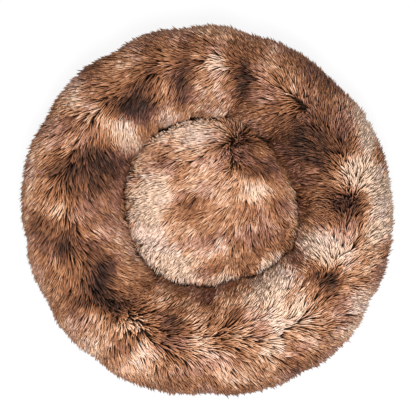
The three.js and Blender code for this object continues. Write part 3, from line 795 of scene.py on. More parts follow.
CUSHION_PATCHES = (
    (-27, 118, 30, 21, 0, 1.8), (-86, 29, 22, 27, 0, 2.2), (-96, -32, 19, 43, -8, 2.8),
    (-53, -83, 32, 14, -12, 2.6), (78, 27, 27, 14, -15, 2.2), (-24, 6, 22, 14, 0, -1.8),
    (-80, 75, 14, 11, 0, -1.2), (-49, 61, 11, 10, 0, -0.8), (62, 109, 41, 32, 0, -3.6),
    (104, 75, 22, 19, 0, -2.8), (69, -105, 16, 10, 0, -2.2), (88, -67, 45, 38, 0, -1.7),
    (22, -67, 19, 13, 0, 1), (8, -101, 13, 10, 0, -1.6), (113, 3, 18, 13, 0, -2), (83, -41, 13, 11, 0, 1),
    (29, -8, 40, 19, 0, -0.4), (-62, 128, 34, 13, 20, 1.3), (-12, 137, 30, 10, 0, 1.2),
    (45, 124, 26, 12, -15, 0.9), (-112, 10, 13, 30, 0, 1.4), (-98, -54, 13, 32, 20, 1.3),
    (-53, -101, 30, 15, -25, 1.5), (103, -96, 26, 18, 30, 2.4), (30, -121, 26, 11, 0, 1.1),
    (86, 57, 36, 11, -8, -1.2), (127, -29, 9, 20, 0, -1.4), (22, 0, 20, 16, 0, 0.8),
    (98, 88, 15, 11, 0, 1.2), (-110, -6, 15, 32, 15, 1.2), (-58, -104, 30, 16, -30, 1),
    (100, -100, 22, 18, 30, 1.3), (36, -126, 30, 11, 0, 1), (62, 56, 32, 13, -18, -1.4),
    (121, 22, 12, 24, 10, -1.2), (26, 112, 20, 14, 0, 0.6), (-22, 80, 16, 14, 0, 0.8),
    (-76, 67, 16, 13, 0, -1), (-40, 0, 15, 15, 0, -0.8), (12, -44, 18, 12, 0, -0.8),
    (-4, -98, 15, 15, 0, -1.1), (94, 86, 22, 10, -25, 0.9), (134, -76, 6, 5, 30, -3),
    (61, -5, 20, 12, -25, -1), (85, -77, 16, 10, 40, -1), (-112, -14, 11, 30, 0, 1),
    (-62, -112, 22, 9, -30, 1), (-46, -112, 16, 8, -30, 0.8), (-52, -12, 28, 18, 0, -0.9),
    (18, -50, 24, 8, 0, -0.8),
)


PATCH_FALL = 0.8
CLOUD_WAVES = 10


def patch_steps(x, y, patches):
    """The sum of the tone steps of all patches at each place."""
    total = np.zeros(len(x))
    for middle_x, middle_y, half_x, half_y, degrees, steps in patches:
        turn = math.radians(degrees)
        across = x / MM - middle_x
        up = y / MM - middle_y
        along = (across * math.cos(turn) + up * math.sin(turn)) / half_x
        aside = (up * math.cos(turn) - across * math.sin(turn)) / half_y
        total += steps * np.exp(-PATCH_FALL * (along * along + aside * aside))
    return total


def cloudy(points, size, seed):
    """Smooth noise of about -1 to 1: a few plane waves of about one length."""
    waves = np.random.default_rng(seed)
    total = np.zeros(len(points))
    for _ in range(CLOUD_WAVES):
        way = waves.normal(size=3)
        way *= 2 * math.pi / size / np.linalg.norm(way) * waves.uniform(0.6, 1.6)
        total += np.cos(points @ way + waves.uniform(0, 2 * math.pi))
    return total / math.sqrt(CLOUD_WAVES) * 1.2


print("patches:", len(BOLSTER_PATCHES), "and", len(CUSHION_PATCHES))

# %% [markdown]
# Planting works on plain arrays, because no operator could place this many copies. A root is put on
# the cloth at random, more of them where the bed shows most. All choices are made on the plain
# turned form, and its faces are cut in one fixed way, so that they are the same in every run.

# %% Helpers: roots and tufts
TUFT_SIZE = 9


def unit(rows):
    """Rows of vectors, each brought to length 1."""
    return rows / np.maximum(np.linalg.norm(rows, axis=1), TINY)[:, None]


def normals_of(piece):
    """The normals at the points of a mesh."""
    normals = np.empty(len(piece.data.vertices) * 3)
    piece.data.vertices.foreach_get("normal", normals)
    return normals.reshape(-1, 3)


def face_fans(mesh):
    """Three vertices of each triangle. Faces come in any order, so they are cut and sorted here."""
    fans = []
    for face in mesh.polygons:
        around = list(face.vertices)
        first = around.index(min(around))
        around = around[first:] + around[:first]
        fans += [(around[0], second, third) for second, third in zip(around[1:], around[2:])]
    return np.array(sorted(fans))


def scatter(form, plain, count, share_at, rng):
    """Random places on a form. share_at(plain places) says how dense the pile is there."""
    corners = face_fans(form.data)
    a, b, c = (plain[corners[:, k]] for k in range(3))
    area = np.linalg.norm(np.cross(b - a, c - a), axis=1) / 2
    share = np.cumsum(area * share_at((a + b + c) / 3))
    wanted = (np.arange(count) + rng.uniform(size=count)) / count * share[-1]
    chosen = corners[np.minimum(np.searchsorted(share, wanted), len(share) - 1)]
    u = np.sqrt(rng.uniform(size=count))
    v = rng.uniform(size=count)
    mix = np.column_stack((1 - u, u * (1 - v), u * v))
    roots, normals, places = (
        np.einsum("nk,nkd->nd", mix, rows[chosen]) for rows in (points_of(form), normals_of(form), plain)
    )
    return roots, unit(normals), places


def tufts(roots, size, rng):
    """Each root's tuft: the number of the nearest of some roots that stand for their tufts."""
    count = max(1, int(len(roots) / size))
    heads = rng.choice(len(roots), count, replace=False)
    tree = kdtree.KDTree(count)
    for number, head in enumerate(heads):
        tree.insert(roots[head], number)
    tree.balance()
    return heads, np.array([tree.find(root)[1] for root in roots])


print("a lock lies in a tuft of about", TUFT_SIZE)

# %% [markdown]
# A lock leans the way it is combed, with a swing that it shares with its tuft and a little of its
# own. At a whorl, where the strokes don't agree, it swings wildly and stands up. It hangs where the
# cloth is steep, and its tip bends towards the tip of the lock that heads its tuft.

# %% Helpers: the lie of a lock
COMB_REACH = 15 * MM
WHORL_REACH = 24 * MM
TUFT_SWING, LOCK_SWING, CLOUD_SWING, WHORL_SWING = 6, 3, 9, 80
SWING_CLOUD = 45 * MM
ROOT_DEPTH = 1.5 * MM
TIP_DRAW = 0.3
TIP_DRAW_MOST = 4 * MM


def comb_way(roots, strokes, otherwise, heads, tuft, rng):
    """The way of each lock, and how loose the pile is there: 1 in the middle of a whorl."""
    x, y = roots[:, 0], roots[:, 1]
    way, _ = combed(x, y, strokes, COMB_REACH, otherwise)
    _, agreed = combed(x, y, strokes, WHORL_REACH, otherwise)
    swing = rng.normal(0, TUFT_SWING, len(heads))[tuft] + rng.normal(0, LOCK_SWING, len(roots))
    loose = rise(1 - agreed, 0.05, 0.55)
    swing += CLOUD_SWING * cloudy(roots, SWING_CLOUD, 3)
    swing += WHORL_SWING * loose * loose * rng.normal(size=len(roots))
    swing = np.radians(swing)
    cos, sin = np.cos(swing), np.sin(swing)
    turned = np.column_stack((way[:, 0] * cos - way[:, 1] * sin, way[:, 0] * sin + way[:, 1] * cos))
    return turned, loose


def leaning(way, normals, hang):
    """The lean of each lock along the cloth: combed, and hanging where the cloth is steep."""
    steep = 1 - np.clip(normals[:, 2], 0, 1)
    lean = np.column_stack((way, -hang * steep))
    return unit(lean - normals * np.sum(lean * normals, axis=1)[:, None]), steep


def drawn_together(tip, heads, tuft):
    """Tips bend a little towards the tip of the lock that heads their tuft."""
    gather = TIP_DRAW * (tip[heads][tuft] - tip)
    far = np.linalg.norm(gather, axis=1)
    return tip + gather * np.minimum(1, TIP_DRAW_MOST / np.maximum(far, TINY))[:, None]


def lock_paths(roots, normals, lean, rise_root, rise_tip, length):
    """The root, the bend and the tip of each lock."""
    def step(angle, share):
        way = lean * np.cos(angle)[:, None] + normals * np.sin(angle)[:, None]
        return way * (length * share)[:, None]
    start = roots - normals * ROOT_DEPTH
    bend = start + step(rise_root, LOCK_BEND)
    return start, bend, bend + step(rise_tip, 1 - LOCK_BEND)


print("comb reach:", COMB_REACH / MM, "mm")

# %% [markdown]
# The points of all locks are worked out at once: each point of the sample lock is set along the path
# and to its side. Then one mesh takes them all, and its UV map says where each corner lies in the dye
# and in its painted shade: tones go across, and root to tip goes up, from painted shade at the root to
# the lit tip, once for each hue. The edges of a lock are painted darker than its ridge as shade, and
# the ridge a little lighter as painted light, so that one lock stands out from the next.

# %% Helpers: locks into a mesh
EDGE_SHADE = 0.06
PALE_SHADE = 0.18
SIDE_SPREAD = 0.004
SHADE_ROOT, SHADE_SPAN, RIDGE_LIGHT = 0.05, 0.9, 0.02
LOCK_TOP = 0.99
LOCK_FOOT = 0.01


def bent_locks(paths, normals, widths):
    """The points of a bent copy of the lock on each path."""
    start, bend, tip = paths
    aside = unit(np.cross(unit(normals + np.array((0, 0, 0.8))), tip - bend))
    up_low = unit(np.cross(bend - start, aside))
    up_high = unit(np.cross(tip - bend, aside))
    points = np.empty((len(start), len(lock_points), 3))
    for k, (side, up, share) in enumerate(lock_points):
        at_root = share < LOCK_FOOT
        along = bend + (tip - bend) * (share - LOCK_BEND) / (1 - LOCK_BEND)
        up_way = up_low if at_root else up_high
        points[:, k] = (start if at_root else along) + (aside * side + up_way * up) * widths[:, None]
    return points


def dye_and_shade_places(corners, tones, hues):
    """The place of each corner of each lock in the dye: tone across, hue and painted shade up."""
    side, up, share = lock_points[corners].T
    on_ridge = (up > 0) | (share > LOCK_TOP)
    # Painted shade at the lock's edges and painted light on its ridge; pale locks get less painted shade.
    shade_from_root = np.where(on_ridge, share, EDGE_SHADE * share)
    pale = PALE_SHADE * rise(tones, 0.75, 0.98)[:, None]
    shade_from_root = pale + (1 - pale) * shade_from_root
    u = tones[:, None] + SIDE_SPREAD * side / np.abs(lock_points[:, 0]).max()
    v = (hues[:, None] + SHADE_ROOT + SHADE_SPAN * shade_from_root + RIDGE_LIGHT * on_ridge) / 2
    return np.stack((u, v), axis=2)


def pile_mesh(name, paths, normals, widths, tones, hues):
    """One mesh with a bent copy of the lock on each path, and the dye's place in its UV map."""
    points = bent_locks(paths, normals, widths)
    count = len(points)
    corners = np.array([k for face in lock_faces for k in face])
    sizes = np.array([len(face) for face in lock_faces])
    numbers = np.arange(count)[:, None]
    mesh = bpy.data.meshes.new(name)
    mesh.vertices.add(count * len(lock_points))
    mesh.vertices.foreach_set("co", points.ravel())
    mesh.loops.add(count * len(corners))
    mesh.loops.foreach_set("vertex_index", (corners + numbers * len(lock_points)).ravel())
    mesh.polygons.add(count * len(sizes))
    starts = np.cumsum(sizes) - sizes
    mesh.polygons.foreach_set("loop_start", (starts + numbers * len(corners)).ravel())
    mesh.update(calc_edges=True)
    dye = mesh.uv_layers.new(name="OFBake")
    dye.data.foreach_set("uv", dye_and_shade_places(corners, tones, hues).ravel())
    return linked(bpy.data.objects.new(name, mesh))


print("edges reach", EDGE_SHADE, "of the way to the tip's shade")

# %% [markdown]
# Both piles grow by the same recipe and differ only in its numbers: how long the locks are, how
# steeply they leave the cloth and bend, and how pale they are. Angles are in degrees.

# %% Helpers: grow a pile
STEP = 0.155
LOCK_WIDTH = 3.2 * MM
DYE_CLOUD = 30 * MM
TUFT_TONES = 0.04
CLOUD_TONES = 0.05
LENGTH_SPREAD = 0.1
WIDTH_SPREAD = 0.16
ROOT_SPREAD = 6
WHORL_ROOT = 20
WHORL_TIP = 46


def grown(places, lies, heads, tuft, patches, style, rng):
    """The path, the width and the tone of each lock, grown by the numbers of a style."""
    roots, normals = places
    lean, steep, loose, bend_steep = lies
    count = len(roots)
    length = style["length"] * rng.normal(1, LENGTH_SPREAD, count).clip(0.7, 1.25)
    length *= 1 + style["longer_where_steep"] * steep
    rise_root = np.radians(rng.normal(style["root"], ROOT_SPREAD, count) + WHORL_ROOT * loose)
    rise_tip = np.radians(rng.normal(*style["tip"], count) + WHORL_TIP * loose + bend_steep * steep)
    start, bend, tip = lock_paths(roots, normals, lean, rise_root, rise_tip, length)
    tip = drawn_together(tip, heads, tuft)
    widths = LOCK_WIDTH * rng.normal(1, WIDTH_SPREAD, count).clip(0.6, 1.5)
    # The patches are partly dye and partly painted shade in folds and painted light on shaded rims.
    tones = style["tone"] + STEP * patch_steps(tip[:, 0], tip[:, 1], patches)
    tones += TUFT_TONES * rng.normal(size=len(heads))[tuft]
    tones += style["lock_tones"] * rng.normal(size=count)
    tones += CLOUD_TONES * cloudy(tip, DYE_CLOUD, style["cloud_seed"])
    return (start, bend, tip), widths, tones


def hues_at(tip, size, seed, least, rng):
    """1 for the rosier dye and 0 for the warmer one, in clouds of about one size."""
    return (0.8 * cloudy(tip, size, seed) + rng.normal(0, 0.4, len(tip)) > least).astype(float)


def pile_pieces(name, count, keep, turn, locks):
    """The pile in a few pieces round the ring, since one mesh of this size is slow to handle."""
    paths, *rows = locks
    sector = ((turn + math.pi) / (2 * math.pi) * count).astype(int).clip(0, count - 1)
    pieces = []
    for number in range(count):
        here = np.flatnonzero(keep & (sector == number))
        part = [path[here] for path in paths]
        pieces.append(pile_mesh(f"{name}_{number + 1}", part, *(row[here] for row in rows)))
    print(name, "locks:", [len(p.data.polygons) // len(lock_faces) for p in pieces])
    return pieces


print("one step of tone:", STEP)

# %% [markdown]
# The bolster's pile is planted first. Low on the outside it hangs over the base, and in the zip's
# window it is trimmed back, so that the slider can run.

# %% Pile of the bolster
DARKEST, PALEST = 0.02, 0.99
RIM_SHADE = 0.12
BOLSTER_LOCKS = 53000
BOLSTER_STYLE = {
    "length": 25 * MM, "longer_where_steep": 0.2, "root": 52, "tip": (16, 5),
    "tone": 0.655, "lock_tones": 0.07, "cloud_seed": 11,
}
WINDOW_TRIM = 38 * MM
FLOOR_TRIM = 3 * MM
rng = np.random.default_rng(7)


def bolster_density(plain):
    """Dense on top, where the bed is looked at, thinner low down, and none where it is open."""
    height = rise(plain[:, 2], 20 * MM, 120 * MM)
    return (0.7 + 0.3 * height) * ~bolster_open(plain)


roots, normals, plain = scatter(bolster_form, bolster_plain, BOLSTER_LOCKS, bolster_density, rng)
turn, radius = turns_and_radii(plain)
inside = radius < RING_MIDDLE
side = np.where(radius > RING_MIDDLE, 1, -1)[:, None]
downhill = np.column_stack((np.cos(turn), np.sin(turn))) * side
heads, tuft = tufts(plain, TUFT_SIZE, rng)
way, loose = comb_way(roots, BOLSTER_STROKES, downhill, heads, tuft, rng)
lean, steep = leaning(way, normals, np.where(inside, 0.2, 0.5))
lies = (lean, steep, loose, np.where(inside, 32, 18))
paths, widths, tones = grown((roots, normals), lies, heads, tuft, BOLSTER_PATCHES, BOLSTER_STYLE, rng)
# Painted shade: the outer rim is darkened against the light that the floor throws onto it.
tones -= RIM_SHADE * rise(radius, 255 * MM, 285 * MM)
tones = tones.clip(DARKEST, PALEST)
hues = hues_at(paths[2], 70 * MM, 5, 0.3, rng)
at_back = (degrees_between(turn, BACK) < BASE_ZIP_HALF + 2) & (radius > RING_MIDDLE)
keep = paths[2][:, 2] >= np.where(at_back, WINDOW_TRIM, FLOOR_TRIM)
locks = (paths, normals, widths, tones, hues)
bolster_pile = pile_pieces("bolster_pile", 8, keep, turn, locks)

# %% [markdown]
# The cushion is planted in the same way, on its top only. Its pile is a little shorter and paler,
# and its locks point outward over the seam, which is why the seam shows as a thin dark line.

# %% Pile of the cushion
CUSHION_LOCKS = 11500
CUSHION_STYLE = {
    "length": 23 * MM, "longer_where_steep": 0.4, "root": 44, "tip": (10, 4),
    "tone": 0.76, "lock_tones": 0.08, "cloud_seed": 12,
}
CUSHION_LIE = (-0.82, -0.57)
ZIP_TRIM = 54 * MM
SEAM_TRIM = 42 * MM
rng = np.random.default_rng(19)


def cushion_density(plain):
    """Even on top, thinner on the side, and none on the underside or in the zip's window."""
    height = rise(plain[:, 2], 40 * MM, 75 * MM)
    return (0.8 + 0.2 * height) * ~((plain[:, 2] < SEAM) | cushion_window(plain))


roots, normals, plain = scatter(cushion_form, cushion_plain, CUSHION_LOCKS, cushion_density, rng)
turn, radius = turns_and_radii(plain)
outward = np.column_stack((np.cos(turn), np.sin(turn)))
heads, tuft = tufts(plain, TUFT_SIZE, rng)
edge = rise(radius, 60 * MM, 125 * MM)[:, None]
plain_way = edge * outward + (1 - edge) * np.array(CUSHION_LIE)
way, loose = comb_way(roots, CUSHION_STROKES, plain_way, heads, tuft, rng)
at_back = degrees_between(turn, BACK) < CUSHION_ZIP_HALF + 3
over_zip = at_back & (plain[:, 2] < 58 * MM)
way = np.where(over_zip[:, None], outward, way)
lean, steep = leaning(way, normals, np.where(over_zip, -0.4, 0.15))
lies = (lean, steep, loose, 16)
paths, widths, tones = grown((roots, normals), lies, heads, tuft, CUSHION_PATCHES, CUSHION_STYLE, rng)
tones = tones.clip(DARKEST, PALEST)
hues = hues_at(paths[2], 60 * MM, 6, 0.5, rng)
keep = paths[2][:, 2] >= np.where(at_back & (radius > CUSHION_SIDE), ZIP_TRIM, SEAM_TRIM)
locks = (paths, normals, widths, tones, hues)
cushion_pile = pile_pieces("cushion_pile", 3, keep, turn, locks)

# %% [markdown]
# The dye is a picture made of nodes alone. Across it runs the tone of a lock, from near black to
# cream, and up it runs painted shade, from dark roots to lit tips, once for a warm brown and once for
# a rosier one. Each lock's UV map says where in that picture its own colour lies.

# %% Tones of the dye
def srgb(*values):
    """A colour in 0 to 255 steps, as the linear values that a shader takes."""
    linear = [((v / 255 + 0.055) / 1.055) ** 2.4 if v > 10 else v / 255 / 12.92 for v in values]
    return (*linear, 1)


def colour_ramp(tree, value, stops):
    """Colours by a value, from (place, colour) stops."""
    ramp = add_node(tree, "ShaderNodeValToRGB", {0: value})
    elements = ramp.color_ramp.elements
    while len(elements) < len(stops):
        elements.new(0.5)
    for element, (place, colour) in zip(elements, stops):
        element.position = place
        element.color = colour
    return ramp.outputs[0]


def mixed(tree, share, first, second, how="MIX"):
    """Two colours mixed by a share, or multiplied."""
    colours = {"Factor": share, 6: first, 7: second}
    return add_node(tree, "ShaderNodeMix", colours, data_type="RGBA", blend_type=how).outputs[2]


WARM_TONES = (
    (0.0, srgb(50, 31, 22)), (0.18, srgb(92, 59, 42)), (0.36, srgb(140, 92, 65)),
    (0.52, srgb(179, 121, 83)), (0.68, srgb(213, 154, 114)), (0.82, srgb(246, 195, 158)),
    (1.0, srgb(255, 224, 198)),
)
ROSY_TONES = (
    (0.0, srgb(56, 37, 30)), (0.18, srgb(100, 66, 54)), (0.36, srgb(150, 102, 83)),
    (0.52, srgb(188, 133, 108)), (0.68, srgb(218, 165, 139)), (0.82, srgb(245, 199, 174)),
    (1.0, srgb(255, 227, 209)),
)


print("tones:", len(WARM_TONES), "warm and", len(ROSY_TONES), "rosy")

# %% [markdown]
# Down among the roots little light gets in, and that shade is painted here: the colour from the tones
# is multiplied by a second ramp, from near black at the root to full near the tip, and a little over
# full at the tip, which is painted light.

# %% Dyed pile with painted shade
PAINTED_SHADE_AND_TIP_LIGHT = (
    (0.0, (0.03, 0.02, 0.015, 1)), (0.15, (0.07, 0.05, 0.04, 1)), (0.38, (0.57, 0.5, 0.45, 1)),
    (0.62, (0.95, 0.95, 0.95, 1)), (0.95, (1.2, 1.2, 1.2, 1)),
)


def dyed_and_shaded_pile(name):
    """Pile whose colour comes from its own UV map: tone across, painted shade from root to tip up, two
    hues.
    """
    finish, tree, shader = new_finish(name, 0.6, 0.25)
    place = add_node(tree, "ShaderNodeUVMap", uv_map="OFBake").outputs[0]
    across, up, _ = add_node(tree, "ShaderNodeSeparateXYZ", {0: place}).outputs
    rosy = combine(tree, "GREATER_THAN", up, 0.5)
    doubled = combine(tree, "MULTIPLY", up, 2)
    shade_from_root = add_node(tree, "ShaderNodeMath", {0: doubled}, operation="FRACT").outputs[0]
    warm_tone = colour_ramp(tree, across, WARM_TONES)
    rosy_tone = colour_ramp(tree, across, ROSY_TONES)
    tone = mixed(tree, rosy, warm_tone, rosy_tone)
    # Painted shade: near black at the root and at the lock's edges, and painted light at the tip.
    shade = colour_ramp(tree, shade_from_root, PAINTED_SHADE_AND_TIP_LIGHT)
    feed(tree, shader, "Base Color", mixed(tree, 1, tone, shade, "MULTIPLY"))
    return finish


bolster_dye_and_shade = dyed_and_shaded_pile("bolster_pile")
cushion_dye_and_shade = dyed_and_shaded_pile("cushion_pile")
for piece in bolster_pile:
    piece.data.materials.append(bolster_dye_and_shade)
    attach(piece, "bed")
for piece in cushion_pile:
    piece.data.materials.append(cushion_dye_and_shade)
    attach(piece, "cushion")
print("dyed pieces:", len(bolster_pile) + len(cushion_pile))

# %% [markdown]
# The stuffing is loose fibre in a bag of thin white cloth, so that the cover can be taken off and
# washed. Bag and fibre are copies of the stuffed forms, drawn in along their normals: the bag by
# the cover's thickness, the fibre by a little more, and the fibre is lumpy. A bag's filling slit is
# sewn up by hand once the fibre is in, so the bags are closed here.

# %% Inner bags and fibre
BAG_EASE = 3.2 * MM
BAG_CLOTH = 0.8 * MM
FIBRE_EASE = 4.6 * MM
LUMP_DEPTH = 0.45 * MM


def draw_in(piece, depth):
    """Moves all points of a closed form inwards by a depth."""
    with editing(piece):
        bpy.ops.transform.shrink_fatten(value=-depth)


def inner_bag(form, name):
    """A closed bag of thin cloth inside a stuffed form."""
    bag = copy_piece(form, name)
    draw_in(bag, BAG_EASE)
    thicken(bag, BAG_CLOTH)
    return bag


def fibre_body(form, name):
    """The lumpy body of fibre that fills the bag."""
    body = copy_piece(form, name)
    draw_in(body, FIBRE_EASE)
    points = points_of(body)
    lumps = cloudy(points, 22 * MM, 31) + 0.6 * cloudy(points, 9 * MM, 32)
    lumps = LUMP_DEPTH * (lumps.clip(-2, 2) - 2)
    move_points(body, points + normals_of(body) * lumps[:, None])
    pick(body)
    bpy.ops.object.shade_smooth()
    return body


bolster_bag = inner_bag(bolster_form, "bolster_bag")
bolster_fibre = fibre_body(bolster_form, "bolster_fibre")
cushion_bag = inner_bag(cushion_form, "cushion_bag")
cushion_fibre = fibre_body(cushion_form, "cushion_fibre")
print("bag and fibre faces:", [len(p.data.polygons) for p in (bolster_bag, bolster_fibre)])

# %% [markdown]
# Under the bolster the base is a flat disc of dark canvas with a band sewn round it, which bends up
# to carry the zip. The disc is a cylinder whose rims are bevelled, as a folded hem is. The band is
# a bent strip in section, turned round the bed. A second disc, of soft knit, floors the well.

# %% Base, band and floor of the well
DISC_RADIUS = 254.9 * MM
FLAT_RADIUS = 266.9 * MM
WELL_CLOTH_RADIUS = 186.6 * MM
CANVAS = 1.6 * MM
FOLD = math.radians(40)


def cloth_disc(name, radius, low, high, centre):
    """A flat disc of cloth with rounded rims."""
    bpy.ops.object.select_all(action="DESELECT")
    bpy.ops.mesh.primitive_cylinder_add(
        vertices=180, radius=radius, depth=high - low, location=(*centre, (low + high) / 2)
    )
    disc = bpy.context.object
    disc.name = name
    bpy.ops.object.transform_apply(location=True, rotation=True, scale=True)
    with editing(disc):
        bpy.ops.mesh.bevel(offset=0.35 * (high - low), segments=3, affect="EDGES")
    bpy.ops.object.shade_smooth_by_angle(angle=FOLD)
    return disc


base_cloth = cloth_disc("base_cloth", DISC_RADIUS, 0.4 * MM, 2 * MM, (0, 0))
well_cloth = cloth_disc("well_cloth", WELL_CLOTH_RADIUS, 2.4 * MM, 4.2 * MM, WELL_CENTRE)


def bend_of_band(bend_radius, turns):
    """Points (radius, height) of the bend in the band, at one side of its canvas."""
    return [(FLAT_RADIUS + bend_radius * math.cos(t), HEM + bend_radius * math.sin(t)) for t in turns]


bend_turns = np.radians(np.linspace(-90, -2, 9))
lip = DISC_RADIUS + 0.3 * MM
flat = lip + 3 * MM
outer_side = [(lip, 0.4 * MM), (flat, 0), *bend_of_band(HEM, bend_turns)]
inner_side = [*bend_of_band(HEM - CANVAS, bend_turns[::-1]), (flat, CANVAS), (lip, CANVAS + 0.2 * MM)]
band_outline = outer_side + inner_side
base_band_cloth = turned_form("base_band_cloth", band_outline, 288)
bpy.ops.object.shade_smooth_by_angle(angle=FOLD)
print("base:", [len(p.data.polygons) for p in (base_cloth, base_band_cloth, well_cloth)])

# %% [markdown]
# Rubber dots under the base keep the bed from sliding. One dot is a low cone with eight sides, its
# top inset and a little raised, and copies of it sit in rows, each row half a step aside from the
# last. A helper puts the copies into one mesh: each gets a place and three directions of its own.

# %% Grip dots
DOT_STEP = 16 * MM
DOT_HEIGHT = 0.42 * MM
DOT_MARGIN = 12 * MM


def repeated(sample, name, origins, alongs, ups):
    """One mesh of many copies of a sample. Its X follows along, its Z follows up."""
    shape = points_of(sample)
    faces = [tuple(face.vertices) for face in sample.data.polygons]
    ups = unit(np.asarray(ups, dtype=float))
    alongs = np.asarray(alongs, dtype=float)
    alongs = unit(alongs - ups * np.sum(alongs * ups, axis=1)[:, None])
    asides = np.cross(ups, alongs)
    axes = np.stack((alongs, asides, ups), axis=1)
    points = np.asarray(origins)[:, None, :] + np.einsum("pk,nkd->npd", shape, axes)
    all_faces = [
        tuple(k + number * len(shape) for k in face)
        for number in range(len(points)) for face in faces
    ]
    mesh = bpy.data.meshes.new(name)
    mesh.from_pydata(points.reshape(-1, 3), [], all_faces)
    piece = linked(bpy.data.objects.new(name, mesh))
    pick(piece)
    bpy.ops.object.shade_smooth_by_angle(angle=math.radians(50))
    bpy.data.objects.remove(sample)
    return piece


bpy.ops.object.select_all(action="DESELECT")
bpy.ops.mesh.primitive_cone_add(vertices=8, radius1=2.4 * MM, radius2=1.7 * MM, depth=0.6 * MM)
dot = bpy.context.object
with editing(dot, "FACE", "DESELECT") as edit:
    select_where(dot, edit.faces, [face.normal.z > 0.9 for face in edit.faces])
    bpy.ops.mesh.inset(thickness=0.5 * MM, depth=0.1 * MM)
reach = range(-18, 19)
rows = DOT_STEP * math.sqrt(0.75)
spots = [((i + j % 2 / 2) * DOT_STEP, j * rows, DOT_HEIGHT) for i in reach for j in reach]
spots = [spot for spot in spots if math.hypot(spot[0], spot[1]) < DISC_RADIUS - DOT_MARGIN]
count = len(spots)
grip_dots = repeated(dot, "grip_dots", spots, [(1, 0, 0)] * count, [(0, 0, -1)] * count)
print("grip dots:", count)

# %% [markdown]
# Thread shows as a row of short raised stitches. One stitch is a sphere with few faces that is
# drawn long and flat. Rows of it hold the band to the disc and the tapes to the covers.

# %% Rows of stitches
STITCH_LENGTH = 3 * MM


def one_stitch():
    """A single stitch along X that rises along Z."""
    bpy.ops.object.select_all(action="DESELECT")
    bpy.ops.mesh.primitive_uv_sphere_add(segments=6, ring_count=4, radius=1, rotation=(0, math.pi / 2, 0))
    stitch = bpy.context.object
    bpy.ops.object.transform_apply(location=True, rotation=True, scale=True)
    half_sizes = (STITCH_LENGTH / 2, 0.3 * MM, 0.25 * MM)
    with editing(stitch):
        bpy.ops.transform.resize(value=half_sizes, center_override=(0, 0, 0))
    return stitch


def round_row(centre, radius, height, first, last, gap):
    """Places, ways along and ways outward for stitches on an arc."""
    count = int(math.radians(last - first) * radius / (STITCH_LENGTH + gap))
    turn = np.radians(first + (last - first) * (np.arange(count) + 0.5) / count)
    outward = np.column_stack((np.cos(turn), np.sin(turn), np.zeros(count)))
    along = np.column_stack((-np.sin(turn), np.cos(turn), np.zeros(count)))
    return outward * radius + (*centre, height), along, outward


seam_places, seam_along, _ = round_row((0, 0), DISC_RADIUS + 2.5 * MM, 0.2 * MM, 0, 360, 1.5 * MM)
down = [(0, 0, -1)] * len(seam_places)
base_seam = repeated(one_stitch(), "base_seam", seam_places, seam_along, down)
print("stitches round the base:", len(seam_places))

# %% [markdown]
# Each zip is two woven tapes with a nylon coil sewn to each, a slider and a pull. A tape is a thin
# strip, turned part of the way round, and its own UV map lays its weave along it. The slider and the
# pull are metal, so the CAD solids stay and only get their enamel.

# %% Helper: tape of a zip
BASE_TAPE_RADIUS = 277.9 * MM
CUSHION_TAPE_RADIUS = 126.5 * MM
TAPE_WIDTH = 11.3 * MM
TAPE_THICKNESS = 1 * MM
TAPE_GAP = 0.7 * MM


def tape(name, centre, inner, low, high, half_arc):
    """A woven strip that stands on an arc at the back."""
    outer = inner + TAPE_THICKNESS
    outline = [(inner, low), (outer, low), (outer, high), (inner, high)]
    columns = round(half_arc * 2)
    strip = turned_form(name, outline, columns, BACK + half_arc, 2 * half_arc)
    points = points_of(strip)
    cloth = strip.data.uv_layers.new(name="weave")
    turn, radius = turns_and_radii(points)
    at = np.column_stack((turn * inner, points[:, 2]))
    corners = np.empty(len(strip.data.loops), dtype=np.int64)
    strip.data.loops.foreach_get("vertex_index", corners)
    cloth.data.foreach_set("uv", at[corners].ravel())
    move_points(strip, points + (*centre, 0))
    bpy.ops.object.shade_smooth_by_angle(angle=FOLD)
    return strip


print("tape:", round(TAPE_WIDTH / MM, 1), "mm wide")

# %% [markdown]
# A coil is one long wire that winds over its tape's edge. Its turns lie between the turns of the
# other coil, half a step aside, as they do in a closed zip. A curve with a bevel gives the wire, and
# it is made a mesh at once.

# %% Helper: coil of a zip
WIRE = 0.34 * MM
COIL_PITCH = 1.5 * MM
COIL_DEPTH = 0.62 * MM
COIL_REACH = 1.35 * MM
TURN_STEPS = 8

def coil(name, centre, radius, middle, half_arc, shift):
    """A wire that winds round a line along the tape's edge."""
    sweep = math.radians(2 * half_arc)
    turns = int(sweep * radius / COIL_PITCH) - 1
    steps = np.arange(turns * TURN_STEPS + 1) / TURN_STEPS + shift
    turn = math.radians(BACK - half_arc) + steps * COIL_PITCH / radius
    out = radius + COIL_DEPTH * np.cos(2 * math.pi * steps)
    height = middle + COIL_REACH * np.sin(2 * math.pi * steps)
    path = np.column_stack((out * np.cos(turn), out * np.sin(turn), height)) + (*centre, 0)
    curve = bpy.data.curves.new(name, "CURVE")
    curve.dimensions = "3D"
    curve.bevel_depth = WIRE
    curve.bevel_resolution = 0
    curve.use_fill_caps = True
    spline = curve.splines.new("POLY")
    spline.points.add(len(path) - 1)
    spline.points.foreach_set("co", np.column_stack((path, np.ones(len(path)))).ravel())
    pick(linked(bpy.data.objects.new(name, curve)))
    bpy.ops.object.convert(target="MESH")
    wire = bpy.context.object
    with editing(wire):
        bpy.ops.mesh.remove_doubles(threshold=DOUBLES)
        bpy.ops.mesh.normals_make_consistent(inside=False)
    bpy.ops.object.shade_smooth()
    return wire


print("coil turns:", round(COIL_PITCH / MM, 1), "mm apart")

# %% [markdown]
# One helper puts a whole zip together: the tapes above and below the middle line, a coil at the
# inner edge of each, and two rows of stitches on each tape. It is called once for either zip.

# %% Zips
COIL_OUT = 2.3 * MM
COIL_OFF_MIDDLE = 1.5 * MM
STITCH_ROWS = (-10.4 * MM, -4.6 * MM, 4.6 * MM, 10.4 * MM)


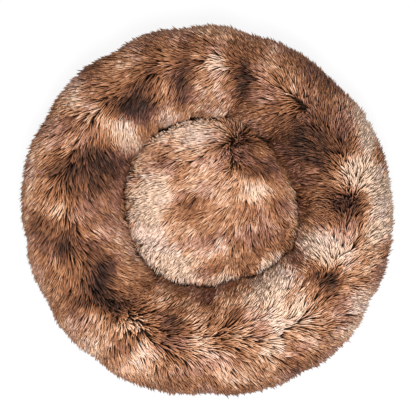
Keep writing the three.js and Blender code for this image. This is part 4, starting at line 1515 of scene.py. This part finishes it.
def zip_pieces(kind, centre, inner, middle, half_arc):
    """The two tapes, the two coils and the thread of one zip."""
    far = TAPE_GAP + TAPE_WIDTH
    lower = tape(f"{kind}_tape_low", centre, inner, middle - far, middle - TAPE_GAP, half_arc)
    upper = tape(f"{kind}_tape_high", centre, inner, middle + TAPE_GAP, middle + far, half_arc)
    axis = inner + COIL_OUT
    low_coil = coil(f"{kind}_coil_low", centre, axis, middle - COIL_OFF_MIDDLE, half_arc, 0)
    high_coil = coil(f"{kind}_coil_high", centre, axis, middle + COIL_OFF_MIDDLE, half_arc, 0.5)
    front = inner + TAPE_THICKNESS
    rows = [
        round_row(centre, front, middle + up, BACK - half_arc, BACK + half_arc, gap=1 * MM)
        for up in STITCH_ROWS
    ]
    sewn = [np.vstack(part) for part in zip(*rows)]
    thread = repeated(one_stitch(), f"{kind}_thread", *sewn)
    return lower, upper, low_coil, high_coil, thread


base_zip = zip_pieces("base_zip", (0, 0), BASE_TAPE_RADIUS, 24 * MM, BASE_ZIP_HALF)
cushion_zip = zip_pieces("cushion_zip", WELL_CENTRE, CUSHION_TAPE_RADIUS, SEAM, CUSHION_ZIP_HALF)
print("coil faces:", len(base_zip[2].data.polygons), "and", len(cushion_zip[2].data.polygons))

# %% [markdown]
# Cloth looks right when its weave has the right size and its threads differ a little. Each finish
# below builds its pattern in metres, from Object coordinates or the tape's own UV map, so that it
# never stretches: fine waves for threads, noise for wear, and the pattern again as a shallow bump.

# %% Helpers: patterns of cloth
def threads(tree, place, step, along, turn=0):
    """Fine waves across one axis: one thread to a step."""
    turned = add_node(tree, "ShaderNodeMapping", {"Rotation": (0, 0, turn), "Vector": place})
    waves = {
        "Vector": turned.outputs[0], "Scale": 2 * math.pi / 20 / step,
        "Distortion": 0.6, "Detail": 1, "Detail Scale": 2,
    }
    return add_node(tree, "ShaderNodeTexWave", waves, bands_direction=along).outputs["Fac"]


def clouds(tree, place, size, detail=3):
    """Noise whose patches are about one size."""
    noise = {"Vector": place, "Scale": 1 / size, "Detail": detail}
    return add_node(tree, "ShaderNodeTexNoise", noise).outputs["Fac"]


def colour_by(tree, shader, value, stops):
    """Colours a surface by a pattern."""
    feed(tree, shader, "Base Color", colour_ramp(tree, value, stops))


def raise_by(tree, shader, value, depth):
    """Lets a pattern stand up by a depth in metres, for the light only."""
    bump = add_node(tree, "ShaderNodeBump", {"Height": value, "Strength": 1, "Distance": depth})
    feed(tree, shader, "Normal", bump.outputs[0])


print("pattern helpers ready")

# %% [markdown]
# Woven canvas, soft knit and the backing of the pile share one recipe: threads both ways, multiplied
# so that they cross, with slow clouds for wear. They differ in the size of a thread, the colours and
# the depth of the bump.

# %% Canvas, knit and backing
def crossed_cloth(name, roughness, step, dark, pale, depth, wear=0.35):
    """A cloth of crossing threads whose colour goes from dark gaps to pale threads."""
    finish, tree, shader = new_finish(name, roughness)
    place = object_place(tree)
    both = combine(tree, "MULTIPLY", threads(tree, place, step, "X"), threads(tree, place, step, "Y"))
    worn = combine(tree, "MULTIPLY", clouds(tree, place, 40 * MM), wear)
    pattern = combine(tree, "ADD", both, combine(tree, "SUBTRACT", worn, wear / 2))
    colour_by(tree, shader, pattern, ((0.0, dark), (1.0, pale)))
    raise_by(tree, shader, both, depth)
    feed(tree, shader, "Sheen Weight", 0.15)
    return finish


canvas = crossed_cloth(
    "dark_canvas", 0.85, step=0.9 * MM,
    dark=(0.016, 0.013, 0.011, 1), pale=(0.11, 0.09, 0.08, 1), depth=0.25 * MM,
)
knit = crossed_cloth(
    "soft_knit", 0.9, step=1.3 * MM,
    dark=(0.16, 0.11, 0.08, 1), pale=(0.47, 0.36, 0.28, 1), depth=0.3 * MM, wear=0.2,
)
# The backing is near black: painted shade for the deep gaps between the locks, where it shows.
backing = crossed_cloth(
    "pile_backing_shade", 0.95, step=1.6 * MM,
    dark=(0.012, 0.006, 0.004, 1), pale=(0.035, 0.018, 0.011, 1), depth=0.3 * MM,
)
print("cloths:", canvas.name, knit.name, backing.name)

# %% [markdown]
# The bags are non-woven cloth: fibres pressed flat, with rows of small welded dots. The stuffing is
# white polyester fibre, so its finish is all soft fuzz.

# %% Bag and fibre
bag_cloth, tree, shader = new_finish("bag_cloth", 0.8)
place = object_place(tree)
weld_rows = {"Scale": 1 / (2.2 * MM), "Randomness": 0.15, "Vector": place}
welds = add_node(tree, "ShaderNodeTexVoronoi", weld_rows).outputs["Distance"]
pressed = combine(tree, "MULTIPLY", combine(tree, "GREATER_THAN", welds, 0.3), 0.4)
fibres = combine(tree, "MULTIPLY", clouds(tree, place, 0.9 * MM, 5), 0.6)
shade = combine(tree, "ADD", pressed, fibres)
colour_by(tree, shader, shade, ((0.1, (0.6, 0.58, 0.53, 1)), (0.9, (0.85, 0.83, 0.78, 1))))
raise_by(tree, shader, shade, 0.2 * MM)

fibre, tree, shader = new_finish("polyester_fibre", 0.9)
place = object_place(tree)
fuzz = combine(tree, "MULTIPLY", clouds(tree, place, 14 * MM, 6), clouds(tree, place, 2 * MM, 4))
colour_by(tree, shader, fuzz, ((0.1, (0.62, 0.61, 0.58, 1)), (0.4, (0.9, 0.89, 0.86, 1))))
raise_by(tree, shader, fuzz, 2 * MM)
feed(tree, shader, "Sheen Weight", 0.3)
print("finishes:", bag_cloth.name, fibre.name)

# %% [markdown]
# The small things are dark: specks in the rubber dots, twisted strands in the thread, slanting ribs
# in the twill of the tapes, and a slow change of tint along the smooth nylon of the coils.

# %% Rubber, thread, tape and nylon
rubber, tree, shader = new_finish("grip_rubber", 0.55)
specks = clouds(tree, object_place(tree), 0.8 * MM, 4)
colour_by(tree, shader, specks, ((0.3, (0.02, 0.02, 0.02, 1)), (0.75, (0.055, 0.052, 0.05, 1))))
raise_by(tree, shader, specks, 0.1 * MM)

thread_finish, tree, shader = new_finish("brown_thread", 0.6)
strands = threads(tree, object_place(tree), 0.45 * MM, "DIAGONAL")
colour_by(tree, shader, strands, ((0.0, (0.03, 0.02, 0.014, 1)), (1.0, (0.16, 0.11, 0.08, 1))))
raise_by(tree, shader, strands, 0.1 * MM)

twill, tree, shader = new_finish("zip_twill", 0.8)
weave = add_node(tree, "ShaderNodeUVMap", uv_map="weave").outputs[0]
ribs = threads(tree, weave, 0.8 * MM, "X", math.radians(52))
shade = combine(tree, "MULTIPLY", ribs, clouds(tree, weave, 6 * MM))
colour_by(tree, shader, shade, ((0.05, (0.035, 0.024, 0.017, 1)), (0.6, (0.16, 0.115, 0.085, 1))))
raise_by(tree, shader, ribs, 0.15 * MM)

nylon, tree, shader = new_finish("zip_nylon", 0.32, 0.5)
tint = clouds(tree, object_place(tree), 5 * MM)
colour_by(tree, shader, tint, ((0.3, (0.05, 0.034, 0.024, 1)), (0.75, (0.12, 0.085, 0.062, 1))))
print("finishes:", [m.name for m in (rubber, thread_finish, twill, nylon)])

# %% [markdown]
# The sliders and pulls are die-cast metal with baked brown enamel. Hands rub it off at the edges
# first. The Pointiness of the surface finds the edges, noise breaks them up, and where the two are
# high the paler metal shows through and is smoother.

# %% Enamel
ENAMEL_STOPS = (
    (0.0, (0.06, 0.041, 0.03, 1)), (0.64, (0.115, 0.082, 0.06, 1)), (0.76, (0.15, 0.11, 0.084, 1)),
    (0.88, (0.4, 0.34, 0.28, 1)),
)
SMOOTHER_WHERE_RUBBED = {"From Min": 0.55, "From Max": 0.85, "To Min": 0.45, "To Max": 0.25}
enamel, tree, shader = new_finish("brown_enamel", 0.4)
edges = add_node(tree, "ShaderNodeNewGeometry").outputs["Pointiness"]
spots = combine(tree, "MULTIPLY", clouds(tree, object_place(tree), 0.8 * MM, 5), 0.3)
rubbed = combine(tree, "ADD", edges, spots)
colour_by(tree, shader, rubbed, ENAMEL_STOPS)
smooth_wear = add_node(tree, "ShaderNodeMapRange", SMOOTHER_WHERE_RUBBED)
feed(tree, smooth_wear, "Value", rubbed)
feed(tree, shader, "Roughness", smooth_wear.outputs[0])
feed(tree, shader, "Metallic", 0.1)
for node in ("base_zip_slider", "base_zip_pull", "cushion_zip_slider", "cushion_zip_pull"):
    for material_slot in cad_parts[node].material_slots:
        material_slot.material = enamel
print("enamelled nodes: 4")

# %% [markdown]
# Last, every piece is dressed, told which body it moves with, and set against the CAD solid that it
# stands for. The table below is the whole assembly on one page.

# %% Assemble
base_low, base_high, base_low_coil, base_high_coil, base_thread = base_zip
pad_low, pad_high, pad_low_coil, pad_high_coil, pad_thread = cushion_zip
ASSEMBLY = (
    (bolster_skin, "bed", "bolster_fur", backing, "bolster_cover"),
    (bolster_bag, "bed", "inner_bag", bag_cloth, "bolster_liner"),
    (bolster_fibre, "bed", "fibre_filling", fibre, "bolster_filling"),
    (base_cloth, "bed", "base_fabric", canvas, "base_panel"),
    (base_band_cloth, "bed", "base_fabric", canvas, "base_band"),
    (grip_dots, "bed", "base_fabric", rubber, None),
    (base_seam, "bed", "base_fabric", thread_finish, None),
    (well_cloth, "bed", "lining_fabric", knit, "well_floor"),
    (base_low, "bed", "zip_tape", twill, "base_zip_tape_lower"),
    (base_high, "bed", "zip_tape", twill, "base_zip_tape_upper"),
    (base_low_coil, "bed", "zip_coil", nylon, "base_zip_coil_lower"),
    (base_high_coil, "bed", "zip_coil", nylon, "base_zip_coil_upper"),
    (base_thread, "bed", "zip_tape", thread_finish, None),
    (cushion_top_skin, "cushion", "cushion_fur", backing, "cushion_cover_top"),
    (cushion_underside, "cushion", "lining_fabric", knit, "cushion_cover_base"),
    (cushion_bag, "cushion", "inner_bag", bag_cloth, "cushion_liner"),
    (cushion_fibre, "cushion", "fibre_filling", fibre, "cushion_filling"),
    (pad_low, "cushion", "zip_tape", twill, "cushion_zip_tape_lower"),
    (pad_high, "cushion", "zip_tape", twill, "cushion_zip_tape_upper"),
    (pad_low_coil, "cushion", "zip_coil", nylon, "cushion_zip_coil_lower"),
    (pad_high_coil, "cushion", "zip_coil", nylon, "cushion_zip_coil_upper"),
    (pad_thread, "cushion", "zip_tape", thread_finish, None),
)
for form in (bolster_form, cushion_form):
    bpy.data.objects.remove(form)
for piece, body, slot, finish, node in ASSEMBLY:
    piece.data.materials.clear()
    piece.data.materials.append(finish)
    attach(piece, body)
    if node:
        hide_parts(node)
